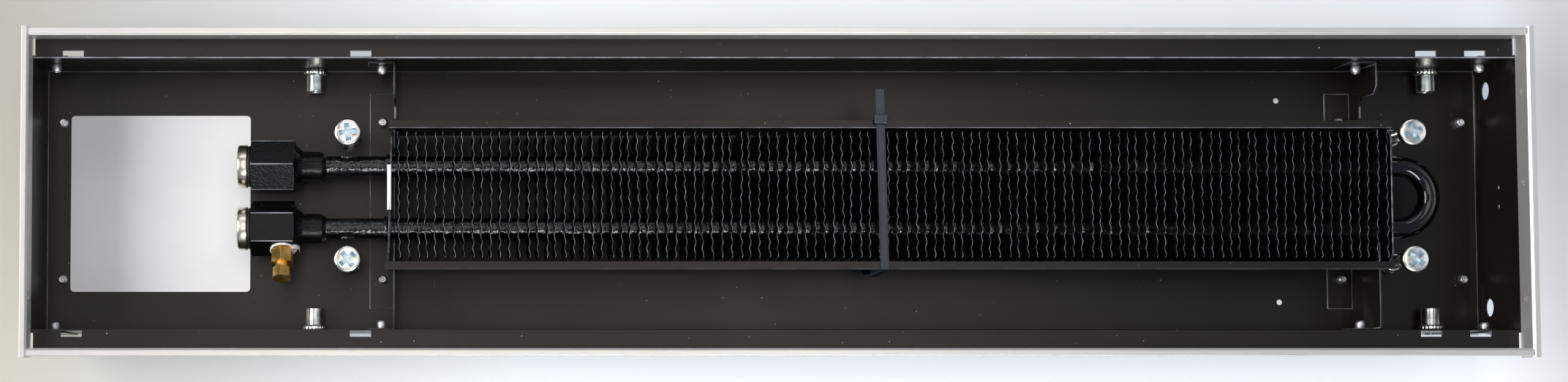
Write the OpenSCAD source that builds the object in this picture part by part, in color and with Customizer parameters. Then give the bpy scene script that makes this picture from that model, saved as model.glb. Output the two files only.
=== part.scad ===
// Trench convector: a trough let into the floor, with a fin-and-tube coil, a frame for a grille,
// pipe connections, an air vent and levelling bolts. Millimetres, +Z up, +X towards the return bend.
// The origin is the middle of the underside.

/* [Trough] */
// Length between the inner faces of the end plates
trough_l = 891; // [700:1:2400]
// Width between the inner faces of the long walls
trough_w = 163; // [150:0.5:320]
// Height of the grille ledge above the underside
ledge_h = 59; // [56:0.5:120]
// Width of the ledge, from the long wall to the frame
ledge_w = 11.6; // [8:0.1:25]
// Thickness of the folded sheet
sheet_t = 1; // [0.8:0.1:1.5]
// Gap between the ends of the ledge and the end plates
ledge_relief = 1.2; // [0.5:0.1:4]
// Length of a drain slot in the ledge
slot_l = 12.4; // [6:0.1:20]
// Width of a drain slot in the ledge
slot_w = 3.4; // [2:0.1:6]
// Distance of each drain slot from the end plate nearest to it
slot_from_end = 24; // [15:0.5:40]
// Distance of the second drain slot of a pair at the right end
slot_second_from_end = 53.5; // [45:0.5:90]
// Distance from the left bracket's web back to the second drain slot at the left
slot_from_bracket = 20.5; // [10:0.5:60]
// Diameter of the two free holes in the floor
floor_hole_d = 3.5; // [2:0.1:8]
// Distance from the right bracket's web back to the free holes
floor_hole_from_bracket = 46; // [30:0.5:100]
// Distance from the long walls to the free holes
floor_hole_from_wall = 18.5; // [10:0.5:30]

/* [End plates] */
// Width of the flanges that lap the trough
end_flange = 20; // [14:0.5:30]
// Distance from the trough's corners to the ends of the lapping flanges
end_flange_margin = 4; // [2:0.5:10]
// Diameter of the cable holes in the right end plate
cable_hole_d = 11; // [6:0.5:16]
// Distance between the cable holes
cable_hole_pitch = 134; // [60:1:140]
// Height of the cable holes above the underside
cable_hole_h = 18; // [14:0.5:40]
// Diameter of the earth lead's screw holes
earth_hole_d = 3; // [2:0.1:6]
// Distance between the earth lead's screw holes
earth_hole_pitch = 11.6; // [8:0.1:30]
// Height of the earth lead's screw holes above the underside
earth_hole_h = 33; // [12:0.5:45]

/* [Frame rails] */
// Height of a rail above the ledge
rail_h = 16; // [10:0.5:40]
// Wall of a rail
rail_wall = 1.2; // [0.8:0.1:2]
// How far a rail's outer skirt hangs below the ledge
rail_skirt = 7; // [3:0.5:20]
// How far the end rails run past the long rails
rail_overhang = 1; // [0:0.1:5]
// Step from an end plate out to its rail's inner face
rail_step = 0.1; // [0:0.1:3]
// Width of a rail's top face
rail_w = 4.4; // [3.4:0.1:8]
// Chamfer along a rail's inner top edge
rail_chamfer = 1.4; // [0.2:0.1:1.6]
// Gap between the ledge's edge and the rail that grips it
grip_gap = 0.1; // [0.05:0.05:0.3]
// Diameter of a press dimple
dimple_d = 4; // [2:0.1:6]
// Depth of a press dimple
dimple_depth = 0.6; // [0.2:0.1:0.7]
// Number of press dimples on a long rail
dimples_long = 9; // [2:1:30]
// Number of press dimples on an end rail
dimples_end = 3; // [1:1:8]
// Distance from a long rail's ends to its first press dimple
dimple_from_end = 36; // [10:1:100]
// Distance between press dimples on an end rail
dimple_pitch_end = 62; // [20:1:70]

/* [Support brackets] */
// Length of the bracket's floor and side flanges
bracket_flange = 16.5; // [12:0.5:30]
// Height of the bracket's web above the underside
bracket_h = 46; // [42:0.5:48]
// Distance from the long walls to the ends of the floor flange
bracket_floor_margin = 14.3; // [6:0.1:24]
// Step of the left bracket's web in from the coil's left end
bracket_step_left = 3; // [2:0.1:3.5]
// Step of the right bracket's web in from the coil's right end
bracket_step_right = 6; // [5.8:0.1:6.2]
// Length of the prongs that stand inside the coil
prong_l = 11.2; // [5:0.1:12]
// Play of a coil side plate in its bracket slot on each side
side_plate_play = 0.4; // [0.1:0.1:1]
// Width of the pipe notch in the web
notch_w = 17; // [8:0.5:20]
// Height of the pipe notch's bottom above the underside
notch_h = 19; // [12:0.5:36]
// Radius of the pipe notch's lower corners
notch_r = 5; // [1:0.5:8]
// Length of the sloped lead-in at the notch's outer corner
notch_lead = 5; // [1:0.5:8]

/* [Coil] */
// Distance from the left end plate to the coil
left_bay = 214.5; // [190:0.5:400]
// Distance from the coil to the right end plate
right_bay = 71.5; // [65:0.5:200]
// Outer diameter of the tube
tube_d = 12.7; // [10:0.1:15]
// Wall of the tube
tube_wall = 0.8; // [0.5:0.05:1.5]
// Distance between the two tube runs
tube_pitch = 38.1; // [36:0.1:44]
// Height of the tube runs above the underside
tube_h = 29; // [28:0.5:34]
// Straight tube between the coil's right end and the return bend
bend_lead = 11.5; // [4:0.5:20]
// Width of a fin
fin_w = 76.2; // [72:0.1:100]
// Height of a fin
fin_h = 42; // [38:0.5:42]
// Thickness of a fin
fin_t = 0.3; // [0.15:0.05:0.5]
// Number of fins
fin_count = 108; // [40:1:130]
// Distance from the coil's left end to the first fin
fin_gap_left = 5.2; // [4.8:0.1:8]
// Distance from the last fin to the coil's right end
fin_gap_right = 3.2; // [2.8:0.1:3.4]
// Gap between the fins and a coil side plate
side_plate_gap = 2.3; // [0.5:0.1:6]
// Width of the flange at the top of a coil side plate
side_plate_flange = 4.6; // [2:0.1:8]
// How far the front side plate runs out past the coil's left end
side_plate_run_out = 2.5; // [0:0.1:6]
// Length of the collars round the tubes on the left coil end plate
collar_l = 3; // [1:0.1:6]
// Wall of those collars
collar_wall = 1.2; // [0.5:0.1:2]
// Chamfer on the upper corners of a coil end plate
end_plate_chamfer = 5.2; // [1:0.1:10]

/* [Pipe fittings] */
// Distance from the coil to the fittings' open faces
fitting_reach = 85; // [78:0.5:150]
// Width of the hexagon across its flats
hex_af = 30; // [28:0.5:34]
// Length of the hexagon
hex_l = 26.5; // [24:0.5:36]
// Outer diameter of the connection thread
pipe_thread_d = 20.955; // [16:0.001:22]
// Depth of the connection thread
pipe_thread_l = 14; // [13:0.5:15]
// Diameter of the water way behind the thread
water_way_d = 10; // [6:0.5:11]
// Length of the cone behind the hexagon
cone_l = 5.1; // [2:0.1:10]
// Wall of the tube socket
socket_wall = 2.65; // [1:0.05:4]
// Length of the tube socket's straight part
socket_l = 10.9; // [6:0.1:20]
// Length of the socket's taper down to the tube
socket_taper_l = 3.1; // [1:0.1:8]
// Wall left at the end of that taper
socket_lip = 0.4; // [0.2:0.05:0.8]
// Chamfer on the hexagon's corners
hex_chamfer = 1.2; // [0.4:0.1:2]

/* [Plugs] */
// Diameter of a plug's collar
plug_d = 26.5; // [22:0.5:28]
// Thickness of a plug's collar
plug_t = 6; // [3:0.5:10]
// Length of a plug's thread
plug_thread_l = 11; // [6:0.5:11.5]
// Width across the flats of the key socket in a plug
plug_key_af = 10; // [5:0.5:14]
// Depth of the key socket
plug_key_l = 8; // [4:0.5:12]
// Thickness of the sealing ring behind the collar
seal_t = 2.4; // [1:0.1:4]
// How far the sealing ring stays inside the collar's edge
seal_inset = 0.6; // [0.2:0.1:1.5]
// Gap between the sealing ring and the fitting
seal_gap = 0.1; // [0.05:0.05:0.5]
// Chamfer on the plug's collar
plug_chamfer = 1; // [0.3:0.1:2]

/* [Air vent] */
// Distance from the fitting's open face to the vent's axis
vent_from_face = 19.4; // [19:0.1:21]
// Outer diameter of the vent's thread
vent_thread_d = 8; // [6:0.1:9]
// Length of the vent's thread
vent_thread_l = 5; // [3:0.1:6]
// Width of the vent's base hexagon across its flats
vent_base_af = 12; // [11:0.5:16]
// Length of the vent's base hexagon
vent_base_l = 11.5; // [6:0.1:14]
// Diameter of the neck between base and cap
vent_neck_d = 8; // [7:0.1:8.5]
// Length of the neck that shows
vent_neck_l = 3; // [1:0.1:6]
// Diameter of the spindle inside the cap
vent_spindle_d = 5; // [3:0.1:6]
// Length of the spindle inside the cap
vent_spindle_l = 5; // [3:0.1:5.5]
// Width of the cap's hexagon across its flats
vent_cap_af = 10; // [9:0.5:14]
// Length of the cap
vent_cap_l = 7.2; // [7:0.1:12]
// Gap between the neck's shoulder and the cap
vent_cap_gap = 0.3; // [0.1:0.1:1]
// Turn of the vent's hexagons away from a corner on top
vent_turn = 6; // [0:1:30]
// Chamfer on the vent's hexagons
vent_chamfer = 0.8; // [0.2:0.1:1.5]
// Width of the sealing tape that shows at the vent's root
tape_l = 2; // [0.5:0.1:3]
// Thickness of the sealing tape round the base hexagon
tape_t = 0.8; // [0.2:0.1:1.5]

/* [Levelling bolts] */
// Thread diameter of the bolts
bolt_d = 8; // [6:0.5:8]
// Length of a bolt below its head
bolt_l = 40; // [34:0.5:42]
// Diameter of a bolt's head
bolt_head_d = 16; // [13:0.5:18]
// Height of a bolt's head
bolt_head_h = 5; // [3:0.1:6]
// Height of a bolt's tip above the underside
bolt_tip_h = 0.8; // [0.5:0.1:4]
// Width of a wing of the cross recess
recess_w = 2; // [1:0.1:3]
// Length of the cross recess
recess_l = 8.4; // [5:0.1:9]
// Depth of the cross recess
recess_depth = 3; // [1:0.1:3]
// Distance between the bolts across the trough
bolt_pitch_y = 77.2; // [70:0.1:84]
// Distance from the coil to the left bolts
bolt_from_coil_left = 26; // [20:0.5:28]
// Distance from the coil to the right bolts
bolt_from_coil_right = 15.5; // [13:0.5:17]

/* [Rivet nuts] */
// Wall of a rivet nut's body
nut_wall = 1.5; // [1:0.1:2]
// How far the pressed bulge stands out from the body
nut_bulge = 1.8; // [0.5:0.1:2.5]
// Length of the pressed bulge
nut_bulge_l = 4; // [2:0.1:7]
// How far the flange stands out from the body
nut_flange = 2.5; // [1:0.1:4]
// Length of a floor nut above the floor
floor_nut_l = 10; // [8:0.5:14]
// Length of a wall nut inside the wall
wall_nut_l = 14.5; // [9:0.5:20]
// Height of the wall nuts above the underside
wall_nut_h = 11; // [10:0.5:40]
// Distance from the coil to the left wall nuts
wall_nut_from_coil_left = 47; // [40:0.5:60]
// Distance from the coil to the right wall nuts
wall_nut_from_coil_right = 37.9; // [28:0.1:40]

/* [Rivets] */
// Diameter of a rivet's shank
rivet_d = 4; // [3:0.1:5]
// Diameter of a rivet's head
rivet_head_d = 7.4; // [6:0.1:9]
// Thickness of a rivet's head
rivet_head_t = 1; // [0.6:0.1:1]
// Diameter of the upset tail
rivet_tail_d = 5.8; // [5.2:0.1:7]
// Length of the upset tail
rivet_tail_l = 5; // [3:0.1:8]
// Diameter of the hole in the tail that holds the broken stem
rivet_stem_d = 2.2; // [1:0.1:2.5]
// Depth of that hole
rivet_stem_depth = 1; // [0.3:0.1:2]
// Height of the wall rivets above the underside
wall_rivet_h = 33; // [24:0.5:40]
// Distance from the coil's side flange to the floor rivets
rivet_from_coil = 4; // [3.4:0.1:10]

/* [Cable tie] */
// Distance of the tie from the middle of the coil
tie_from_middle = -5; // [-60:0.5:60]
// Width of the strap
tie_w = 5.2; // [3:0.1:8]
// Thickness of the strap
tie_t = 1.2; // [0.8:0.1:2]
// Gap between the strap and the coil's underside
tie_slack = 1.4; // [0.2:0.1:3]
// Width of the tie's head
tie_head_w = 8.2; // [6:0.1:12]
// Length of the tie's head
tie_head_l = 5.8; // [4:0.1:10]
// Height of the tie's head
tie_head_h = 5; // [3:0.1:8]
// Length of the cut tail past the head
tie_tail_l = 15; // [2:0.5:24]

/* [Label] */
// Length of the label along the trough
label_l = 112; // [40:0.5:120]
// Width of the label across the trough
label_w = 110; // [40:0.5:130]
// Thickness of the label
label_t = 0.15; // [0.05:0.05:0.3]
// Corner radius of the label
label_r = 2.5; // [0.5:0.5:10]
// Distance from the left end plate to the label
label_from_end = 14.5; // [13:0.5:30]
// Shift of the label away from the middle of the trough, towards the front
label_shift = 1.5; // [-10:0.5:10]

/* [Fits] */
// Gap between pieces that are pressed, brazed or riveted together
fit_gap = 0.02; // [0.01:0.01:0.05]
// Gap between a turning thread and its nut
thread_gap = 0.05; // [0.02:0.01:0.1]

/* [Hidden] */
$fn = 48;
eps = 0.01;
// Turn that brings a hexagon's flat on top, and the slope of the flats beside it
hex_turn = 30;

// Trough
half_l = trough_l / 2;
floor_bottom = sheet_t;
floor_top = 2 * sheet_t;
wall_in = trough_w / 2;
wall_out = wall_in + sheet_t;
ledge_end = half_l - ledge_relief;
rail_in_y = wall_in + ledge_w;
rail_out_y = rail_in_y + rail_w;
rail_in_x = half_l + rail_step;
rail_out_x = rail_in_x + rail_w;
grip_reach = rail_w - rail_wall - grip_gap;
foot_in = max(0, sheet_t + grip_gap - rail_step);
foot_top = -sheet_t - grip_gap;

// Coil
coil_left = left_bay - half_l;
coil_right = half_l - right_bay;
coil_middle = (coil_left + coil_right) / 2;
tube_y = tube_pitch / 2;
fin_bottom = tube_h - fin_h / 2;
fin_top = tube_h + fin_h / 2;
fin_first = coil_left + fin_gap_left;
fin_last = coil_right - fin_gap_right;
fin_pitch = (fin_last - fin_first) / (fin_count - 1);
side_in = fin_w / 2 + side_plate_gap;
side_out = side_in + sheet_t;
flange_out = side_in + side_plate_flange;
tube_hole_r = tube_d / 2 + fit_gap;

// Brackets, given by the face of the web that looks to the right
bracket_left = coil_left + bracket_step_left;
bracket_right = coil_right - bracket_step_right;
bracket_xs = [bracket_left, bracket_right];
slot_in = side_in - side_plate_play;
slot_out = side_out + side_plate_play;
prong_in = slot_in - prong_l;
notch_in = flange_out;
notch_out = notch_in + notch_w;

// Fittings, given by their open face and the start of each stage along the pipe
face_x = coil_left - fitting_reach;
hex_end = face_x + hex_l;
cone_end = hex_end + cone_l;
socket_d = tube_d + 2 * socket_wall;
tube_start = cone_end;
pipe_thread_r = pipe_thread_d / 2;
vent_x = face_x + vent_from_face;

// Bolts, nuts and rivets
bolt_left = coil_left - bolt_from_coil_left;
bolt_right = coil_right + bolt_from_coil_right;
bolt_y = bolt_pitch_y / 2;
nut_bore_r = bolt_d / 2 + thread_gap;
nut_body_r = nut_bore_r + nut_wall;
nut_bulge_r = nut_body_r + nut_bulge;
nut_flange_r = nut_body_r + nut_flange;
wall_nut_xs = [coil_left - wall_nut_from_coil_left, coil_right + wall_nut_from_coil_right];
rivet_hole_r = rivet_d / 2 + fit_gap;
rivet_y = flange_out + rivet_from_coil;
end_rivet_x = half_l - end_flange / 2;
bracket_rivet_xs = [for (x = bracket_xs) x - bracket_flange / 2];

tie_x = coil_middle + tie_from_middle;

// Finishes
coat = "#1f1d1c";
gloss_black = "#101011";
anodised = "#d9d8d3";
zinc = "#c4c9c8";
nickel = "#d8d3c4";
brass = "#b08a36";
nylon = "#2b2d30";
rubber = "#1a1a1a";
tape_white = "#f0efe9";
paper = "#e6e6e8";

// A box between two opposite corners
module block(low, high) {
    translate(low) cube(high - low);
}

module both_sides() {
    children();
    mirror([0, 1, 0]) children();
}

// Turns what is drawn along +Z so that it runs along +X from the point at
module along_x(at) {
    translate(at) rotate([0, 90, 0]) children();
}

// A round hole through the long walls on both sides
module wall_hole(x, z, r) {
    translate([x, -2 * wall_out, z]) rotate([-90, 0, 0]) cylinder(r = r, h = 4 * wall_out);
}

// A hexagonal bar along +Z whose corners are turned off at both ends
module hex_bar(af, l, chamfer) {
    corner_r = af / sqrt(3);
    intersection() {
        cylinder(r = corner_r, h = l, $fn = 6);
        rotate_extrude() polygon([
            [0, 0], [corner_r - chamfer, 0], [corner_r, chamfer * tan(hex_turn)],
            [corner_r, l - chamfer * tan(hex_turn)], [corner_r - chamfer, l], [0, l]
        ]);
    }
}

// Trough and end plates
module ledge_slots() {
    centres = [
        slot_from_end - half_l, bracket_left - slot_from_bracket,
        half_l - slot_second_from_end, half_l - slot_from_end
    ];
    for (x = centres) both_sides() {
        block([x - slot_l / 2, wall_out, ledge_h - 2 * sheet_t],
              [x + slot_l / 2, wall_out + slot_w, ledge_h + sheet_t]);
    }
}

module trough_holes() {
    ledge_slots();
    translate([bracket_right - floor_hole_from_bracket, 0, 0]) both_sides() {
        translate([0, wall_in - floor_hole_from_wall, 0]) cylinder(d = floor_hole_d, h = 2 * floor_top);
    }
    for (x = concat([-end_rivet_x, end_rivet_x], bracket_rivet_xs)) {
        both_sides() translate([x, rivet_y, 0]) cylinder(r = rivet_hole_r, h = 2 * floor_top);
        wall_hole(x, wall_rivet_h, rivet_hole_r);
    }
    for (x = [bolt_left, bolt_right]) {
        both_sides() translate([x, bolt_y, 0]) cylinder(r = nut_body_r + fit_gap, h = 2 * floor_top);
    }
    for (x = wall_nut_xs) wall_hole(x, wall_nut_h, nut_body_r + fit_gap);
}

module trough() {
    color(coat) difference() {
        union() {
            block([-half_l, -wall_out, floor_bottom], [half_l, wall_out, floor_top]);
            both_sides() {
                block([-half_l, wall_in, floor_bottom], [half_l, wall_out, ledge_h]);
                block([-ledge_end, wall_in, ledge_h - sheet_t],
                      [ledge_end, rail_in_y + grip_reach, ledge_h]);
            }
        }
        trough_holes();
    }
}

// An end plate at the right end: wall, lapping flanges and the top flange that its rail grips
module end_plate() {
    lap_x = half_l - end_flange;
    lap_out = wall_out + sheet_t;
    difference() {
        union() {
            block([half_l, -lap_out, 0], [half_l + sheet_t, lap_out, ledge_h]);
            block([lap_x, end_flange_margin - wall_out, 0],
                  [half_l + eps, wall_out - end_flange_margin, sheet_t]);
            both_sides() block([lap_x, wall_out, end_flange_margin],
                               [half_l + eps, lap_out, ledge_h - end_flange_margin]);
            block([half_l, -lap_out, ledge_h - sheet_t], [rail_in_x + grip_reach, lap_out, ledge_h]);
        }
        both_sides() translate([end_rivet_x, rivet_y, -eps]) {
            cylinder(r1 = rivet_head_d / 2 + 2 * fit_gap, r2 = rivet_hole_r, h = sheet_t + eps);
            cylinder(r = rivet_hole_r, h = 2 * sheet_t);
        }
        wall_hole(end_rivet_x, wall_rivet_h, rivet_hole_r);
    }
}

module end_plate_left() {
    color(coat) mirror([1, 0, 0]) end_plate();
}

module end_plate_right() {
    color(coat) difference() {
        end_plate();
        both_sides() {
            along_x([half_l - sheet_t, cable_hole_pitch / 2, cable_hole_h])
                cylinder(d = cable_hole_d, h = 3 * sheet_t);
            along_x([half_l - sheet_t, earth_hole_pitch / 2, earth_hole_h])
                cylinder(d = earth_hole_d, h = 3 * sheet_t);
        }
    }
}

// A frame rail of length l along +X, with its inner face at y = 0 and the ledge's top at z = 0.
// The ledge's edge sits between the inner leg and the foot.
module rail(l, dimple_xs) {
    dimple_r = (dimple_d * dimple_d / 4 + dimple_depth * dimple_depth) / (2 * dimple_depth);
    difference() {
        union() {
            block([-l / 2, 0, grip_gap], [l / 2, rail_wall, rail_h]);
            block([-l / 2, 0, rail_h - rail_wall], [l / 2, rail_w, rail_h]);
            block([-l / 2, rail_w - rail_wall, -rail_skirt], [l / 2, rail_w, rail_h]);
            block([-l / 2, foot_in, foot_top - rail_wall], [l / 2, rail_w, foot_top]);
        }
        for (x = dimple_xs)
            translate([x, dimple_depth - dimple_r, rail_h / 2]) sphere(r = dimple_r);
        translate([-l / 2 - eps, 0, rail_h]) rotate([45, 0, 0])
            block([0, -rail_chamfer, -rail_chamfer / sqrt(2)], [l + 2 * eps, rail_chamfer, rail_chamfer]);
    }
}

module long_rail() {
    span = 2 * (rail_in_x - dimple_from_end);
    step = span / (dimples_long - 1);
    translate([0, rail_in_y, ledge_h])
        rail(2 * rail_in_x, [for (i = [0 : dimples_long - 1]) i * step - span / 2]);
}

module end_rail() {
    first = -(dimples_end - 1) * dimple_pitch_end / 2;
    dimple_xs = [for (i = [0 : dimples_end - 1]) first + i * dimple_pitch_end];
    translate([rail_in_x, 0, ledge_h]) rotate([0, 0, -90])
        rail(2 * (rail_out_y + rail_overhang), dimple_xs);
}

module frame_rail_front() {
    color(anodised) mirror([0, 1, 0]) long_rail();
}

module frame_rail_rear() {
    color(anodised) long_rail();
}

module frame_rail_left() {
    color(anodised) mirror([1, 0, 0]) end_rail();
}

module frame_rail_right() {
    color(anodised) end_rail();
}

// The web of a support bracket as a flat outline: first coordinate across the trough, second up
module bracket_web() {
    difference() {
        translate([-wall_in, floor_top]) square([2 * wall_in, bracket_h - floor_top]);
        translate([-prong_in, fin_bottom - sheet_t]) square([2 * prong_in, bracket_h]);
        for (side = [-1, 1])
            translate([side * (slot_in + slot_out) / 2 - (slot_out - slot_in) / 2, fin_bottom])
                square([slot_out - slot_in, bracket_h]);
        translate([notch_in, notch_h + notch_r]) square([notch_w, bracket_h]);
        translate([notch_in + notch_r, notch_h]) square([notch_w - 2 * notch_r, bracket_h]);
        for (y = [notch_in + notch_r, notch_out - notch_r])
            translate([y, notch_h + notch_r]) circle(r = notch_r);
        polygon([
            [notch_out, bracket_h - notch_lead], [notch_out + notch_lead, bracket_h],
            [notch_out, bracket_h + notch_lead], [notch_out - notch_lead, bracket_h]
        ]);
    }
}

// A support bracket whose web has its right-hand face at x
module support_bracket(x) {
    back = x - bracket_flange;
    floor_y = wall_in - bracket_floor_margin;
    difference() {
        union() {
            along_x([x - sheet_t, 0, 0]) rotate([0, 0, 90]) linear_extrude(sheet_t) bracket_web();
            block([back, -floor_y, floor_top], [x - sheet_t + eps, floor_y, floor_top + sheet_t]);
            both_sides() block([back, wall_in - sheet_t, notch_h], [x - sheet_t + eps, wall_in, bracket_h]);
        }
        translate([x - bracket_flange / 2, 0, 0]) both_sides() {
            translate([0, rivet_y, floor_top - sheet_t]) cylinder(r = rivet_hole_r, h = 3 * sheet_t);
        }
        wall_hole(x - bracket_flange / 2, wall_rivet_h, rivet_hole_r);
    }
}

module support_bracket_left() {
    color(coat) support_bracket(bracket_left);
}

module support_bracket_right() {
    color(coat) support_bracket(bracket_right);
}

// Coil
module tube_holes(x, l) {
    for (side = [-1, 1]) along_x([x, side * tube_y, tube_h]) cylinder(r = tube_hole_r, h = l);
}

module fin() {
    difference() {
        block([-fin_t / 2, -fin_w / 2, fin_bottom], [fin_t / 2, fin_w / 2, fin_top]);
        tube_holes(-fin_t, 2 * fin_t);
    }
}

module fin_pack() {
    color(gloss_black) for (i = [0 : fin_count - 1]) translate([fin_first + i * fin_pitch, 0, 0]) fin();
}

// A coil end plate centred on x = 0
module coil_end_plate() {
    side = side_in;
    low = fin_top - end_plate_chamfer;
    rotate([90, 0, 90]) translate([0, 0, -sheet_t / 2]) linear_extrude(sheet_t) polygon([
        [-side, fin_bottom], [side, fin_bottom], [side, low],
        [side - end_plate_chamfer, fin_top], [end_plate_chamfer - side, fin_top], [-side, low]
    ]);
}

module coil_end_plate_left() {
    color(gloss_black) difference() {
        translate([coil_left, 0, 0]) union() {
            coil_end_plate();
            for (side = [-1, 1]) along_x([-sheet_t / 2 - collar_l, side * tube_y, tube_h])
                cylinder(r = tube_hole_r + collar_wall, h = collar_l + sheet_t / 2);
        }
        tube_holes(coil_left - collar_l - sheet_t, collar_l + 2 * sheet_t);
    }
}

module coil_end_plate_right() {
    color(gloss_black) difference() {
        translate([coil_right, 0, 0]) coil_end_plate();
        tube_holes(coil_right - sheet_t, 2 * sheet_t);
    }
}

// The rear side plate of the coil, run out to the left by a given length
module coil_side_plate(run_out) {
    left = coil_left - sheet_t / 2 - run_out;
    right = coil_right + sheet_t / 2;
    block([left, side_in, fin_bottom], [right, side_out, fin_top]);
    block([left, side_in, fin_top - sheet_t], [right, flange_out, fin_top]);
}

module coil_side_plate_front() {
    color(gloss_black) mirror([0, 1, 0]) coil_side_plate(side_plate_run_out);
}

module coil_side_plate_rear() {
    color(gloss_black) coil_side_plate(0);
}

module hairpin_tube() {
    bend_x = coil_right + bend_lead;
    run_l = bend_x - tube_start;
    bore_r = tube_d / 2 - tube_wall;
    color(gloss_black) translate([bend_x, 0, tube_h]) {
        for (side = [-1, 1]) translate([0, side * tube_y, 0]) rotate([0, -90, 0]) difference() {
            cylinder(d = tube_d, h = run_l);
            translate([0, 0, -eps]) cylinder(r = bore_r, h = run_l + 2 * eps);
        }
        rotate([0, 0, -90]) rotate_extrude(angle = 180)
            translate([tube_y, 0]) difference() {
                circle(d = tube_d);
                circle(r = bore_r);
            }
    }
}

// A pipe fitting along +X from its open face, with the hexagon turned about the pipe
module fitting(turn) {
    socket_r = socket_d / 2;
    cone_r = hex_af / 2;
    depth = tube_start - face_x;
    difference() {
        union() {
            rotate([0, 0, turn]) hex_bar(hex_af, hex_l, hex_chamfer);
            rotate_extrude() polygon([
                [0, hex_l - hex_chamfer], [cone_r - hex_chamfer, hex_l - hex_chamfer],
                [cone_r - hex_chamfer, hex_l], [socket_r, hex_l + cone_l],
                [socket_r, hex_l + cone_l + socket_l],
                [tube_hole_r + socket_lip, hex_l + cone_l + socket_l + socket_taper_l],
                [0, hex_l + cone_l + socket_l + socket_taper_l]
            ]);
        }
        translate([0, 0, -eps]) cylinder(r = pipe_thread_r + thread_gap, h = pipe_thread_l + eps);
        cylinder(d = water_way_d, h = depth + eps);
        translate([0, 0, depth]) cylinder(r = tube_hole_r, h = socket_l + socket_taper_l + eps);
    }
}

// Places what is drawn along the vent's axis, from the middle of the fitting's upper front flat
module at_vent() {
    translate([vent_x, -tube_y, tube_h]) rotate([90 - hex_turn, 0, 0])
        translate([0, 0, hex_af / 2]) children();
}

module fitting_front() {
    color(gloss_black) difference() {
        along_x([face_x, -tube_y, tube_h]) fitting(hex_turn);
        at_vent() translate([0, 0, -hex_af / 2]) cylinder(d = vent_thread_d + 2 * fit_gap, h = hex_af);
    }
}

module fitting_rear() {
    color(gloss_black) along_x([face_x, tube_y, tube_h]) fitting(0);
}

// A closing plug along +X, with the back of its collar at 0
module plug() {
    collar_r = plug_d / 2;
    difference() {
        union() {
            rotate_extrude() polygon([
                [0, -plug_t], [collar_r - plug_chamfer, -plug_t], [collar_r, plug_chamfer - plug_t],
                [collar_r, -plug_chamfer / 2], [collar_r - plug_chamfer / 2, 0], [0, 0]
            ]);
            cylinder(r = pipe_thread_r, h = seal_t + seal_gap + plug_thread_l);
        }
        translate([0, 0, -plug_t - eps]) cylinder(r = plug_key_af / sqrt(3), h = plug_key_l, $fn = 6);
    }
}

module sealing_ring() {
    difference() {
        cylinder(r = plug_d / 2 - seal_inset, h = seal_t);
        translate([0, 0, -eps]) cylinder(r = pipe_thread_r + fit_gap, h = seal_t + 2 * eps);
    }
}

module at_plug(side) {
    along_x([face_x - seal_gap - seal_t, side * tube_y, tube_h]) children();
}

module plug_front() {
    color(nickel) at_plug(-1) plug();
}

module plug_rear() {
    color(nickel) at_plug(1) plug();
}

module seal_front() {
    color(rubber) at_plug(-1) sealing_ring();
}

module seal_rear() {
    color(rubber) at_plug(1) sealing_ring();
}

// Air vent, drawn along its axis from the fitting's flat
vent_corner = 90 + vent_turn;
vent_shoulder = vent_base_l + vent_neck_l;

module vent_body() {
    color(brass) at_vent() {
        translate([0, 0, -vent_thread_l]) cylinder(d = vent_thread_d, h = vent_thread_l + eps);
        rotate([0, 0, vent_corner]) hex_bar(vent_base_af, vent_base_l, vent_chamfer);
        cylinder(d = vent_neck_d, h = vent_shoulder - vent_cap_gap);
        cylinder(d = vent_spindle_d, h = vent_shoulder + vent_spindle_l);
    }
}

module vent_cap() {
    color(brass) at_vent() translate([0, 0, vent_shoulder]) difference() {
        rotate([0, 0, vent_corner]) hex_bar(vent_cap_af, vent_cap_l, vent_chamfer);
        translate([0, 0, -eps])
            cylinder(r = vent_spindle_d / 2 + thread_gap, h = vent_spindle_l + vent_cap_gap);
    }
}

module vent_tape() {
    corner_r = vent_base_af / sqrt(3);
    color(tape_white) at_vent() rotate([0, 0, vent_corner]) difference() {
        cylinder(r = corner_r + tape_t, h = tape_l);
        translate([0, 0, -eps]) cylinder(r = corner_r + fit_gap, h = tape_l + 2 * eps, $fn = 6);
    }
}

// Cable tie
module rounded_frame(w, h, r) {
    translate([-w / 2 + r, 0]) square([w - 2 * r, h]);
    translate([-w / 2, r]) square([w, h - 2 * r]);
    for (y = [r - w / 2, w / 2 - r], z = [r, h - r]) translate([y, z]) circle(r = r);
}

module cable_tie() {
    low = fin_bottom - tie_slack;
    inner_w = 2 * (flange_out + fit_gap);
    inner_h = fin_top + fit_gap - low;
    head_y = flange_out - tie_head_l / 2;
    strap_top = fin_top + fit_gap + tie_t;
    color(nylon) {
        translate([tie_x - tie_w / 2, 0, low - tie_t]) rotate([90, 0, 90]) linear_extrude(tie_w)
            difference() {
                rounded_frame(inner_w + 2 * tie_t, inner_h + 2 * tie_t, tie_t);
                translate([-inner_w / 2, tie_t]) square([inner_w, inner_h]);
            }
        block([tie_x - tie_head_w / 2, head_y, strap_top - tie_t / 2],
              [tie_x + tie_head_w / 2, head_y + tie_head_l, strap_top + tie_head_h - tie_t]);
        block([tie_x - tie_w / 2, head_y + tie_head_l / 2, strap_top + tie_t / 2],
              [tie_x + tie_w / 2, head_y + tie_head_l + tie_tail_l, strap_top + 3 * tie_t / 2]);
    }
}

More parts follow.
